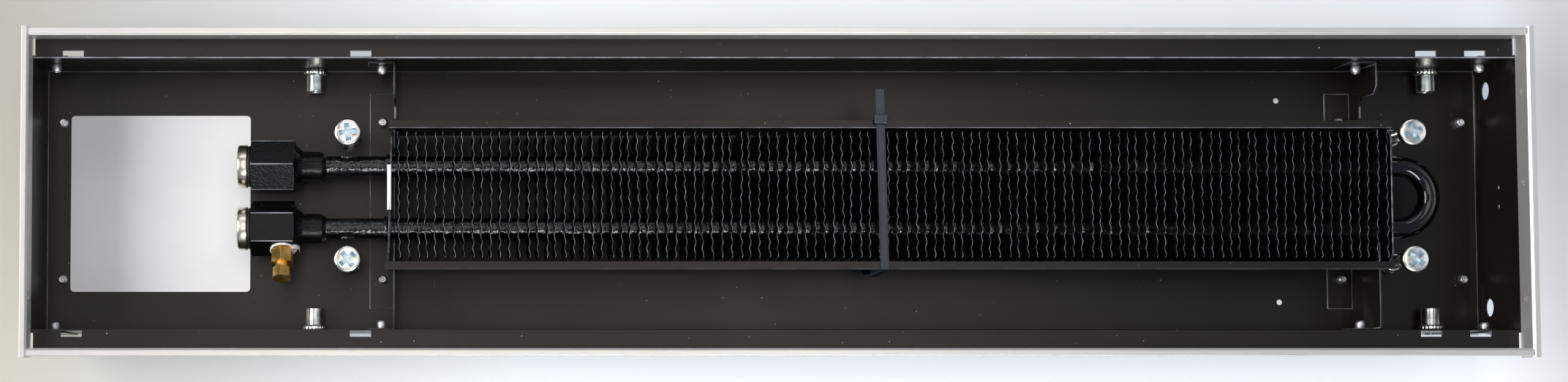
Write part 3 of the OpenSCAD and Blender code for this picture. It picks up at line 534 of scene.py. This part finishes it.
# Label film: plain white, smooth, with faint handling marks.
label_paper, tree, shader, place = start_finish("label_film", "#f6f6f8", 0.5)
marks = add(tree, "TexNoise", {"Vector": place, "Scale": per_mm(30), "Detail": 4})
tone = add(tree, "Mix", {0: marks.outputs[0], 6: colour("#f3f2f1"), 7: colour("#faf9f8")},
           data_type="RGBA")
plug_in(tree, shader, base=tone.outputs[2])

# %% [markdown]
# ## Trough and end plates
#
# The trough is one sheet, folded four times: floor, two walls and two ledges that carry the grille.
# A press brake never makes a sharp corner, so the folds are rounded, and copies of the CAD sheets
# are bevelled for that, because holes and slots are then in place already. Thin grey lines are
# painted on as painted highlights, where light catches an edge: along the floor's folds, round the
# slots, and on a narrow strip of the rear ledge that a cut parts off beside its fold. The end plates
# are riveted on from outside.

# %% Trough and end plates
WALL_IN, WALL_OUT, LEDGE_TOP = 81.5, 82.5, 59
FLOOR_UNDER, FLOOR_TOP = 1, 2
GLINT_STRIP_EDGE = 82.2
trough = copy_of("trough", along_x)
# Painted highlight: a cut parts off a narrow strip of the rear ledge beside its fold, and that strip
# takes the light grey second finish.
bmesh.ops.bisect_plane(trough, geom=trough.verts[:] + trough.edges[:] + trough.faces[:],
                       plane_co=(0, GLINT_STRIP_EDGE, 0), plane_no=(0, 1, 0))
for face in trough.faces:
    middle = face.calc_center_median()
    face.material_index = int(middle.z > LEDGE_TOP - 0.1 and WALL_IN - 0.1 < middle.y < GLINT_STRIP_EDGE)
front_fold, ledge = at(y=WALL_IN, z=LEDGE_TOP), at(z=LEDGE_TOP)
soften(trough, 0.9, lambda a, b: front_fold(a, b) and max(a.y, b.y) < 0)
soften(trough, 0.3, at(y=WALL_OUT, z=LEDGE_TOP - 1), segments=2)
# Painted highlight: the floor's folds get the light grey second finish.
paint_glint_on_edge(trough, at(y=WALL_IN, z=FLOOR_TOP), 0.25)
soften(trough, 1.6, at(y=WALL_OUT, z=FLOOR_UNDER))
# Painted highlight: so do the edges round the slots.
paint_glint_on_edge(trough, lambda a, b: ledge(a, b) and all(82.4 < abs(p.y) < 96 for p in (a, b)), 0.15)
piece("trough_sheet", trough, [powder_coat, painted_edge_glint], "powder_coat", "trough", flat=True)

for side in ("left", "right"):
    plate = copy_of("end_plate_" + side, along_x)
    soften(plate, 0.5, at(x=445.5, z=LEDGE_TOP))
    piece(f"end_plate_{side}_sheet", plate, powder_coat, "powder_coat", "end_plate_" + side,
          flat=True)

# %% [markdown]
# ## Frame rails
#
# Four bars of one aluminium profile edge the heater. The profile is drawn once as a flat outline
# with a chamfer at its inner top edge, just as a die would press it out, and extruded to each
# bar's length; then the top corners are rounded. Along the inner face a press tool has left
# shallow dimples, which hold the bar on the sheet; balls cut them out.

# %% Frame rails
RAIL_WIDE, RAIL_TALL, CHAMFER = 4.4, 16, 1.4
CHAMFER_FOOT = RAIL_TALL - CHAMFER
RAIL_OUTLINE = [(0, 0.1), (0, CHAMFER_FOOT), (CHAMFER, RAIL_TALL), (RAIL_WIDE, RAIL_TALL),
                (RAIL_WIDE, -7), (3.2, -7), (3.2, -2.3), (1, -2.3), (1, -1.1), (3.2, -1.1),
                (3.2, 14.8), (1.2, 14.8), (1.2, 0.1)]
LONG_RAIL, LONG_REACH, END_RAIL, END_REACH = 891.2, 93.1, 197, 445.6


def rail(node, metal, length, reach, turn, dimples):
    """One bar along X, pressed at the dimples, then turned to its side of the trough."""
    bm = bmesh.new()
    profile = bm.faces.new([bm.verts.new((-length / 2, out, z)) for out, z in RAIL_OUTLINE])
    pulled = bmesh.ops.extrude_face_region(bm, geom=[profile])["geom"]
    bmesh.ops.translate(bm, vec=(length, 0, 0),
                        verts=[v for v in pulled if isinstance(v, bmesh.types.BMVert)])
    bmesh.ops.recalc_face_normals(bm, faces=bm.faces)
    soften(bm, 0.2, at(y=0, z=CHAMFER_FOOT), 2)
    soften(bm, 0.2, at(y=CHAMFER, z=RAIL_TALL), 2)
    soften(bm, 0.35, at(y=RAIL_WIDE, z=RAIL_TALL))
    balls = bmesh.new()
    for x in dimples:
        bmesh.ops.create_icosphere(balls, subdivisions=3, radius=4.2,
                                   matrix=Matrix.Translation((x, -3.45, 8)))
    bm = carve(bm, balls)
    bmesh.ops.transform(bm, verts=bm.verts, matrix=Matrix.Rotation(math.radians(turn), 4, "Z")
                        @ Matrix.Translation((0, reach, LEDGE_TOP)))
    piece(node + "_bar", bm, metal, "anodised_rail", node, flat=True)


rail("frame_rail_rear", long_rail_metal, LONG_RAIL, LONG_REACH, 0,
     [-411, -324, -226, -124, -12, 119, 191, 259, 324, 410])
rail("frame_rail_front", long_rail_metal, LONG_RAIL, LONG_REACH, 180,
     [-408, -320, -232, -118, -6, 112, 204, 318, 410])
rail("frame_rail_left", end_rail_metal, END_RAIL, END_REACH, 90, [-62, 0, 62])
rail("frame_rail_right", end_rail_metal, END_RAIL, END_REACH, -90, [-60, -6, 64])

# %% [markdown]
# ## Support brackets
#
# Two folded brackets stand across the trough and carry the coil on their prongs. They are copies
# of the CAD sheets with a real bend radius where the web turns into its flanges. The side flanges
# start some way up, and a cut through the sheet at that height lets the bevel start there too.
# Every cut edge loses its sharpness, and its rounding is painted light grey as a painted highlight:
# the thin line of light that a coated edge catches.

# %% Support brackets
FLANGE_FOOT = 19
for side, web in (("left", -228), ("right", 368)):
    bracket = copy_of("support_bracket_" + side)
    bmesh.ops.bisect_plane(bracket, geom=bracket.verts[:] + bracket.edges[:] + bracket.faces[:],
                           plane_co=(0, 0, FLANGE_FOOT), plane_no=(0, 0, 1))
    outer, inner = at(x=abs(web), y=WALL_IN), at(x=abs(web - 1), y=WALL_IN - 1)
    soften(bracket, 1.8, lambda a, b: outer(a, b) and min(a.z, b.z) > FLANGE_FOOT - 0.1, 4)
    soften(bracket, 0.8, lambda a, b: inner(a, b) and min(a.z, b.z) > FLANGE_FOOT - 0.1)
    soften(bracket, 0.7, at(x=abs(web - 1), z=3))
    # Painted highlight: the cut edges get the light grey second finish.
    paint_glint_on_edge(bracket, lambda a, b: (a - b).length > 2.5 and max(a.z, b.z) > 2.9, 0.35)
    piece(f"support_bracket_{side}_sheet", bracket, [powder_coat, painted_edge_glint], "powder_coat",
          "support_bracket_" + side, flat=True)

# %% [markdown]
# ## Rivets and threaded inserts
#
# Blind rivets hold the sheets together. From inside the trough their swollen tails show: a ring
# with a dark hole and the broken end of the pin in it. The threaded inserts swell in the same way
# behind the sheet and carry a knurl, so that they can't turn. Both are lathe work; the knurl comes
# from drawing in every other line of points.

# %% Rivets
def rivet(bm, place, flush=False):
    """A set blind rivet along +Z from the outer sheet's outside: head, stack of 2 mm, tail."""
    sunk, domed = [(0, 0), (3.6, 0), (2.0, 1)], [(0, -0.9), (2.6, -0.95), (3.4, -0.6), (3.7, 0)]
    head = sunk if flush else domed
    lathe(bm, head + [(2, 1.99 if flush else 0.01), (2, 2), (2.55, 2.15), (2.85, 3.0), (2.9, 4.6),
                      (2.75, 5.8), (2.3, 6.6), (1.75, 6.95), (1.25, 6.9), (1.1, 6.6), (1.1, 5.9),
                      (0.85, 5.85), (0.75, 6.3), (0.4, 6.45), (0, 6.5)], place, 24)


def facing(x, y, z, turn_x=0):
    """Turns +Z about X and moves it to a place."""
    return Matrix.Translation((x, y, z)) @ Matrix.Rotation(math.radians(turn_x), 4, "X")


BRACKET_RIVET_XS, END_RIVET_XS = (-236.25, 359.75), (-435.5, 435.5)
WALL_RIVET_Z = 33
floor_rivets, wall_rivets = bmesh.new(), bmesh.new()
for y in (-49, 49):
    for x in END_RIVET_XS:
        rivet(floor_rivets, facing(x, y, 0), flush=True)
    for x in BRACKET_RIVET_XS:
        rivet(floor_rivets, facing(x, y, FLOOR_UNDER))
for side in (-1, 1):
    for x in END_RIVET_XS:
        rivet(wall_rivets, facing(x, side * (WALL_OUT + 1), WALL_RIVET_Z, side * 90))
    for x in BRACKET_RIVET_XS:
        rivet(wall_rivets, facing(x, side * WALL_OUT, WALL_RIVET_Z, side * 90))
piece("floor_rivet_group", floor_rivets, rivet_metal, "zinc_plate", "floor_rivets")
piece("wall_rivet_group", wall_rivets, rivet_metal, "zinc_plate", "wall_rivets")

# %% Threaded inserts
KNURL_LINES = 48
BOLT_LEFT, BOLT_RIGHT, BOLT_Y = -257, 389.5, 38.6
WALL_NUT_XS, WALL_NUT_Z = (-278, 411.9), 11


def insert(bm, place, length):
    """A rivet nut along +Z from the sheet's outside, with a knurled swell and an open bore."""
    made = lathe(bm, [(4.05, -1), (8.05, -1), (8.05, 0), (5.55, 0), (5.55, 1), (6.6, 1.05),
                      (7.3, 2.2), (7.35, 3.9), (6.9, 4.7), (5.7, 5.0), (5.55, 5.3),
                      (5.55, 0.4 + length), (5.35, 0.85 + length), (4.9, 1 + length),
                      (4.3, 0.95 + length), (4.05, 0.6 + length), (4.05, -1)],
                 Matrix(), KNURL_LINES)
    for v in made:
        radius, around = math.hypot(v.co.x, v.co.y), math.atan2(v.co.y, v.co.x)
        if radius > 6.5 and v.co.z > 1 and round(around / math.tau * KNURL_LINES) % 2:
            bmesh.ops.scale(bm, vec=(0.94, 0.94, 1), verts=[v])
    bmesh.ops.transform(bm, matrix=place, verts=made)


floor_inserts, wall_inserts = bmesh.new(), bmesh.new()
for side in (-1, 1):
    for x in (BOLT_LEFT, BOLT_RIGHT):
        insert(floor_inserts, facing(x, side * BOLT_Y, FLOOR_UNDER), 10)
    for x in WALL_NUT_XS:
        insert(wall_inserts, facing(x, side * WALL_OUT, WALL_NUT_Z, side * 90), 14.5)
piece("floor_insert_group", floor_inserts, zinc_plate, "zinc_plate", "floor_rivet_nuts", sharp=50)
piece("wall_insert_group", wall_inserts, zinc_plate, "zinc_plate", "wall_rivet_nuts", sharp=50)

# %% [markdown]
# ## Levelling bolts
#
# Four bolts stand on the floor below and lift the trough until its rim is level. Each is a pan
# head with a cross recess on a threaded shank. The thread is one ridge that is spun upwards: every
# step of the spin also climbs a little, which draws a helix. A bump would be quicker, but it would
# vanish from the outline, and the shanks stand free beyond the ends of the coil.

# %% Levelling bolts
def bolt(node, x, y, turn):
    """One bolt: head with its recess, plain core, and a helical ridge for the thread."""
    head = bmesh.new()
    lathe(head, [(0, 40), (7.7, 40), (8.2, 40.3), (8.3, 41), (8.25, 43.4), (8.0, 44.2), (7.4, 44.7),
                 (6.4, 44.95), (0, 45.1)], steps=40)
    cross = bmesh.new()
    for quarter in (0, 90):
        blade = bmesh.ops.create_cube(cross, size=1)["verts"]
        bmesh.ops.scale(cross, vec=(16.8, 4, 7), verts=blade)
        bmesh.ops.translate(cross, vec=(0, 0, 45.6), verts=blade)
        for v in blade:
            if v.co.z < 44:
                v.co.x, v.co.y = 0.4 * v.co.x, 0.7 * v.co.y
        bmesh.ops.rotate(cross, matrix=Matrix.Rotation(math.radians(quarter), 3, "Z"), verts=blade)
    bm = carve(head, cross)
    for face in bm.faces:
        middle = face.calc_center_median()
        face.material_index = int(40.5 < middle.z < 44.9 and middle.xy.length < 6)
    lathe(bm, [(0, 0), (2.6, 0), (3.4, 0.8), (3.4, 40.2), (0, 40.2)], steps=20)
    before = set(bm.verts)
    pitch, steps, turns = 1.25, 18, 31
    crest = [(3.36, 0.5), (3.98, 1.05), (3.98, 1.2), (3.36, 1.75)]
    ridge = [bm.verts.new((r, 0, h)) for r, h in crest]
    edges = [bm.edges.new(pair) for pair in zip(ridge, ridge[1:])]
    bmesh.ops.spin(bm, geom=ridge + edges, angle=math.tau * turns, steps=steps * turns,
                   axis=(0, 0, 1), dvec=(0, 0, pitch / steps))
    bmesh.ops.recalc_face_normals(bm, faces=[f for f in bm.faces if not before & set(f.verts)])
    bmesh.ops.transform(bm, verts=bm.verts, matrix=Matrix.Translation((x, y, 0.8))
                        @ Matrix.Rotation(math.radians(turn), 4, "Z"))
    piece(node + "_turned", bm, [zinc_plate, recess_zinc], "zinc_plate", node,
          body=node.replace("levelling_", ""))


bolt("levelling_bolt_left_front", BOLT_LEFT, -BOLT_Y, 38)
bolt("levelling_bolt_left_rear", BOLT_LEFT, BOLT_Y, 8)
bolt("levelling_bolt_right_front", BOLT_RIGHT, -BOLT_Y, 52)
bolt("levelling_bolt_right_rear", BOLT_RIGHT, BOLT_Y, 20)

# %% [markdown]
# ## Fin pack
#
# A hundred and eight thin aluminium fins sit on the two runs of the tube. Each is rolled into a
# zigzag so that it stirs the air, and handling has bent them a little, so no two gaps are alike.
# An array of one fin would be too even, so each fin is made by itself: one edge is subdivided,
# waved, pulled up into a sheet and given its thickness. The random bends are seeded, so the pack
# is the same each time.

# %% Fin pack
FIN_FIRST, FIN_LAST, FIN_COUNT = -225.8, 370.8, 108
FIN_PITCH = (FIN_LAST - FIN_FIRST) / (FIN_COUNT - 1)
FIN_HALF, FIN_FOOT, FIN_TALL, FIN_THICK, WAVE = 38.1, 8, 42, 0.26, 7.62
BENT_FINS = 14
bends = random.Random(7)
fins = bmesh.new()
for i in range(FIN_COUNT):
    x = FIN_FIRST + i * FIN_PITCH
    near_end = max(0, 1 - i / BENT_FINS)
    shift = bends.uniform(-0.45, 0.45) * (1 + 1.2 * near_end) if 0 < i < FIN_COUNT - 1 else 0
    lean, bow, kink = bends.uniform(-0.5, 0.5), bends.uniform(-0.5, 0.5), bends.uniform(-0.5, 0.5)
    edge = bmesh.new()
    edge.edges.new([edge.verts.new((x, y, FIN_FOOT)) for y in (-FIN_HALF, FIN_HALF)])
    bmesh.ops.subdivide_edges(edge, edges=edge.edges, cuts=59)
    for v in edge.verts:
        t = v.co.y / FIN_HALF
        v.co.x += 0.4 * math.asin(0.97 * math.sin(v.co.y / WAVE * math.tau))
        v.co.x += shift + lean * t + bow * (t * t - 0.4) + kink * math.sin(3 * t)
        v.co.x += 1.6 * near_end * max(0, -t - 0.4)
    top = bmesh.ops.extrude_edge_only(edge, edges=edge.edges)["geom"]
    bmesh.ops.translate(edge, vec=(bends.uniform(-0.25, 0.25), 0, FIN_TALL),
                        verts=[v for v in top if isinstance(v, bmesh.types.BMVert)])
    bmesh.ops.solidify(edge, geom=edge.faces[:], thickness=FIN_THICK)
    bmesh.ops.recalc_face_normals(edge, faces=edge.faces)
    for face in edge.faces:
        face.material_index = int(face.calc_center_median().z > FIN_FOOT + FIN_TALL - 0.1)
    one = bpy.data.meshes.new("fin")
    edge.to_mesh(one)
    edge.free()
    fins.from_mesh(one)
    bpy.data.meshes.remove(one)
piece("fin_pack_waved", fins, [fin_enamel, fin_edge], "coil_enamel", "fin_pack", sharp=60)

# %% [markdown]
# ## Coil plates and hairpin tube
#
# Side plates and end plates box the fins in. The tube runs through them twice with one return bend:
# a circle is pulled along the first run, spun round the bend and pulled back. A curve with a round
# bevel would be shorter to write, but it couldn't swell: the long runs are cut into many rings, and
# noise makes them uneven, as thick paint does; at each fin its collar makes the tube fatter.

# %% Coil plates
COIL_TOP = 50
for side, glint_y, glint in (("front", 45, 0.18), ("rear", 40.4, 0.35)):
    plate = copy_of("coil_side_plate_" + side)
    # Painted highlight: the top edge where the plate's fold or cut catches the light is painted grey.
    paint_glint_on_edge(plate, at(y=glint_y, z=COIL_TOP), glint)
    piece(f"coil_side_plate_{side}_sheet", plate, [powder_coat, painted_edge_glint], "coil_enamel",
          "coil_side_plate_" + side, flat=True)
for side, skew in (("left", 0.024), ("right", 0)):
    plate = copy_of("coil_end_plate_" + side)
    # Painted highlight: the upper edges take the fin edges' light grey.
    paint_glint_on_edge(plate, lambda a, b: (a - b).length > 3 and min(a.z, b.z) > 40, 0.3)
    for v in plate.verts:
        v.co.x += skew * v.co.y
    piece(f"coil_end_plate_{side}_sheet", plate, [coil_enamel, fin_edge], "coil_enamel",
          "coil_end_plate_" + side, flat=True)

# A painted glint on the left plate, between the two tubes: a small tilted white bar stands for a
# lamp's reflection on its bent edge.
glint_bar = bmesh.new()
bmesh.ops.create_cube(glint_bar, size=1, matrix=Matrix.Translation((-231.6, 4.6, 49.3))
                      @ Matrix.Rotation(math.radians(-32), 4, "Y")
                      @ Matrix.Diagonal((2.8, 27.5, 0.8, 1)))
bmesh.ops.bevel(glint_bar, geom=glint_bar.edges[:], offset=0.35, offset_type="OFFSET", segments=3,
                profile=0.5, affect="EDGES", material=-1)
piece("coil_end_painted_glint", glint_bar, painted_glint_sheet, "coil_enamel")

# %% Hairpin tube
START, BEND = -284.4, 385.5
TUBE_Y, TUBE_Z, TUBE_R = 19.05, 29, 6.35
SMOOTH_FROM = BEND - 8


def pull(bm, edges, along):
    """Extrudes a ring of edges and returns the new ring's edges."""
    made = bmesh.ops.extrude_edge_only(bm, edges=edges)["geom"]
    verts = [v for v in made if isinstance(v, bmesh.types.BMVert)]
    bmesh.ops.translate(bm, vec=along, verts=verts)
    edges = [e for e in made if isinstance(e, bmesh.types.BMEdge)]
    return [e for e in edges if all(v in verts for v in e.verts)]


tube = bmesh.new()
ring = bmesh.ops.create_circle(tube, segments=24, radius=TUBE_R, matrix=Matrix.Translation(
    (START, TUBE_Y, TUBE_Z)) @ Matrix.Rotation(math.radians(90), 4, "Y"))["verts"]
loop = list({e for v in ring for e in v.link_edges})
loop = pull(tube, loop, (BEND - START, 0, 0))
turned = bmesh.ops.spin(tube, geom=list({v for e in loop for v in e.verts}) + loop, angle=math.pi,
                        steps=64, axis=(0, 0, -1), cent=(BEND, 0, TUBE_Z))["geom_last"]
loop = [e for e in turned if isinstance(e, bmesh.types.BMEdge)]
pull(tube, loop, (START - BEND, 0, 0))
for cuts in (7, 9, 9):
    runs = [e for e in tube.edges if max(v.co.x for v in e.verts) < BEND + 0.01
            and abs((e.verts[0].co - e.verts[1].co).normalized().x) > 0.99]
    bmesh.ops.subdivide_edges(tube, edges=runs, cuts=cuts)
bmesh.ops.recalc_face_normals(tube, faces=tube.faces)
tube.normal_update()
for v in tube.verts:
    swell = 0.16 * noise.noise(v.co * 0.35) + 0.1 * noise.noise(v.co * 0.9)
    if FIN_FIRST - 1 < v.co.x < FIN_LAST + 1:
        to_fin = abs((v.co.x - FIN_FIRST + FIN_PITCH / 2) % FIN_PITCH - FIN_PITCH / 2)
        swell += 0.3 * max(0, 1 - to_fin / 1.1) ** 2
    v.co += v.normal * swell * (1 if v.co.x < SMOOTH_FROM else 0.3)
for face in tube.faces:
    face.material_index = int(face.calc_center_median().x > SMOOTH_FROM)
piece("hairpin_tube_dipped", tube, [coil_enamel, bend_enamel], "coil_enamel", "hairpin_tube")

# %% [markdown]
# ## Fittings, plugs and seals
#
# Two hexagon fittings take the water pipes and are painted with the coil. Copies of the CAD bodies
# get soft edges, because paint never leaves a knife edge on a bar, and these edges are painted grey
# as painted highlights. The closing plugs are turned and plated, so they are spun, and a six-sided
# key hole is cut into each; a rubber ring sits behind each collar.

# %% Fittings
for side in ("front", "rear"):
    body = copy_of("fitting_" + side)
    # Painted highlight: the long edges are rounded and painted grey.
    soften(body, 0.45, lambda a, b: abs(a.x - b.x) > 8, 2, finish=1)
    piece(f"fitting_{side}_painted", body, [fitting_enamel, painted_edge_glint], "coil_enamel",
          "fitting_" + side, flat=True)

# %% Plugs and seals
MOUTH = -318.5
for side, y in (("front", -TUBE_Y), ("rear", TUBE_Y)):
    out = Matrix.Translation((MOUTH, y, TUBE_Z)) @ Matrix.Rotation(math.radians(-90), 4, "Y")
    plug = bmesh.new()
    lathe(plug, [(0, -13), (9.6, -13), (10.3, -12.3), (10.3, -1), (10.3, 0), (12.65, 0),
                 (13.1, 0.25), (13.25, 0.7), (13.25, 4.4), (12.9, 5.4), (12.0, 6.0), (11.0, 6.0)],
          Matrix(), 56)
    rim = [e for e in plug.edges if len(e.link_faces) == 1]
    cap = bmesh.ops.edgeloop_fill(plug, edges=rim)["faces"]
    bmesh.ops.inset_region(plug, faces=cap, thickness=4.6, depth=-0.5)
    bmesh.ops.recalc_face_normals(plug, faces=plug.faces)
    key = bmesh.new()
    bmesh.ops.create_cone(key, cap_ends=True, segments=6, radius1=5.77, radius2=5.77, depth=14,
                          matrix=Matrix.Translation((0, 0, 5)))
    plug = carve(plug, key)
    bmesh.ops.transform(plug, verts=plug.verts, matrix=out)
    piece(f"plug_{side}_turned", plug, nickel_plate, "nickel_plate", "plug_" + side,
          body="plug_" + side)
    seal = bmesh.new()
    lathe(seal, [(10.5, -0.1), (12.05, 0), (12.5, -0.5), (12.65, -1.2), (12.5, -1.9),
                 (12.05, -2.4), (10.5, -2.3), (10.5, -0.1)], out, 48)
    piece(f"seal_{side}_ring", seal, seal_rubber, "seal_rubber", "seal_" + side,
          body="plug_" + side)

# %% [markdown]
# ## Air vent
#
# A small brass vent is screwed into a flat of the front fitting and lets air out of the coil. Its
# hexagons are copies of the CAD bodies with broken corners. The white tape round its thread is a
# bunched ring with a loose, curled end.

# %% Air vent
for node, name, body in (("vent_body", "vent_base", "housing"),
                         ("vent_cap", "vent_top", "vent_cap")):
    brass = copy_of(node)
    soften(brass, 0.25, lambda a, b: (a - b).length > 2.5, 2)
    piece(name, brass, vent_brass, "vent_brass", node, body=body, flat=True)

VENT_ROOT = Matrix.Translation((-296.6, -32.04, 36.5)) @ Matrix.Rotation(math.radians(60), 4, "X")
tape = bmesh.new()
wraps = lathe(tape, [(6.95, 0.02), (7.4, 0.05), (7.75, 0.5), (7.8, 1.0), (7.5, 1.5), (7.2, 1.7),
                     (6.95, 1.6), (6.95, 0.02)], Matrix(), 60)
for v in wraps:
    v.co *= 1 + 0.07 * noise.noise(v.co * 0.6)
curl = []
for i in range(15):
    turn, radius = math.radians(-35 + i * 26), 3.2 - 0.12 * i
    curl.append((7.6 + radius * math.cos(turn), 2.6 + 0.1 * i + radius * math.sin(turn)))
low, high = [[tape.verts.new((x, y, z)) for x, y in curl] for z in (0.4, 3.4)]
flap = [tape.faces.new((low[i], low[i + 1], high[i + 1], high[i])) for i in range(len(curl) - 1)]
bmesh.ops.solidify(tape, geom=flap, thickness=0.25)
bmesh.ops.transform(tape, matrix=VENT_ROOT, verts=tape.verts)
piece("vent_tape_wraps", tape, sealing_tape, "sealing_tape", "vent_tape")

# %% [markdown]
# ## Cable tie and label
#
# A nylon tie is slung round the coil, a little askew, with its tail standing off behind. It is a
# flat strap section that is carried along a path: each step extrudes the section and turns it
# into the next frame, so the raised edges of the strap stay on its outside. The label is one thin
# film with rounded corners; only its rim is broken, so that it catches the light.

# %% Cable tie
STRAP = [(-2.6, 0), (-2.6, 1.1), (-2.4, 1.3), (-1.9, 1.3), (-1.7, 1.0), (1.7, 1.0), (1.9, 1.3),
         (2.4, 1.3), (2.6, 1.1), (2.6, 0)]


def sweep(bm, outline, path):
    """Carries a closed outline along a path of places and turns about X."""
    frames = [facing(x, y, z, turn) for x, y, z, turn in path]
    end = bm.faces.new([bm.verts.new(frames[0] @ Vector((u, 0, v))) for u, v in outline])
    for here, there in zip(frames, frames[1:]):
        made = bmesh.ops.extrude_face_region(bm, geom=[end])["geom"]
        bmesh.ops.transform(bm, matrix=there @ here.inverted(),
                            verts=[v for v in made if isinstance(v, bmesh.types.BMVert)])
        end = next(f for f in made if isinstance(f, bmesh.types.BMFace))
    bmesh.ops.recalc_face_normals(bm, faces=bm.faces)


tie = bmesh.new()
sweep(tie, STRAP, [(65.2, 45, 50.05, 0), (66.0, 10, 50.05, 0), (67.1, -43.6, 50.05, 0),
                   (67.1, -44.8, 49.9, 25), (67.1, -45.3, 49.3, 65), (66.6, -45.6, 48, 90),
                   (64.6, -46.6, 45, 100), (62, -47.7, 41, 98), (60.2, -47.9, 37, 84),
                   (59.8, -46.6, 31, 76), (60.4, -44.6, 24, 82), (62.2, -44.2, 12, 90),
                   (63.6, -43.8, 7.6, 135), (64, -42.6, 6.6, 180), (65, 43, 6.6, 180),
                   (65.1, 44.5, 7.4, 230), (65.1, 45.05, 9, 270), (65.1, 45.05, 49, 270)])
tail = bmesh.new()
sweep(tail, STRAP, [(65.1, 46.5, 51.6, 180), (64.9, 52, 51.9, 178), (64.6, 63.4, 52.6, 177)])
head = bmesh.new()
bmesh.ops.create_cube(head, size=1, matrix=Matrix.Translation((65.15, 45.4, 52.3))
                      @ Matrix.Diagonal((8.2, 5.8, 4.4, 1)))
bmesh.ops.bevel(head, geom=head.edges[:], offset=0.7, offset_type="OFFSET", segments=3,
                profile=0.5, affect="EDGES", material=-1)
for name, part in (("cable_tie_tail", tail), ("cable_tie_head", head)):
    piece(name, part, tie_nylon, "tie_nylon", flat=True)
piece("cable_tie_strap", tie, tie_nylon, "tie_nylon", "cable_tie")

# %% Label
film = copy_of("floor_label")
soften(film, 0.05, lambda a, b: a.z > 2.1 and b.z > 2.1, 1)
piece("floor_label_film", film, label_paper, "label_paper", "floor_label")
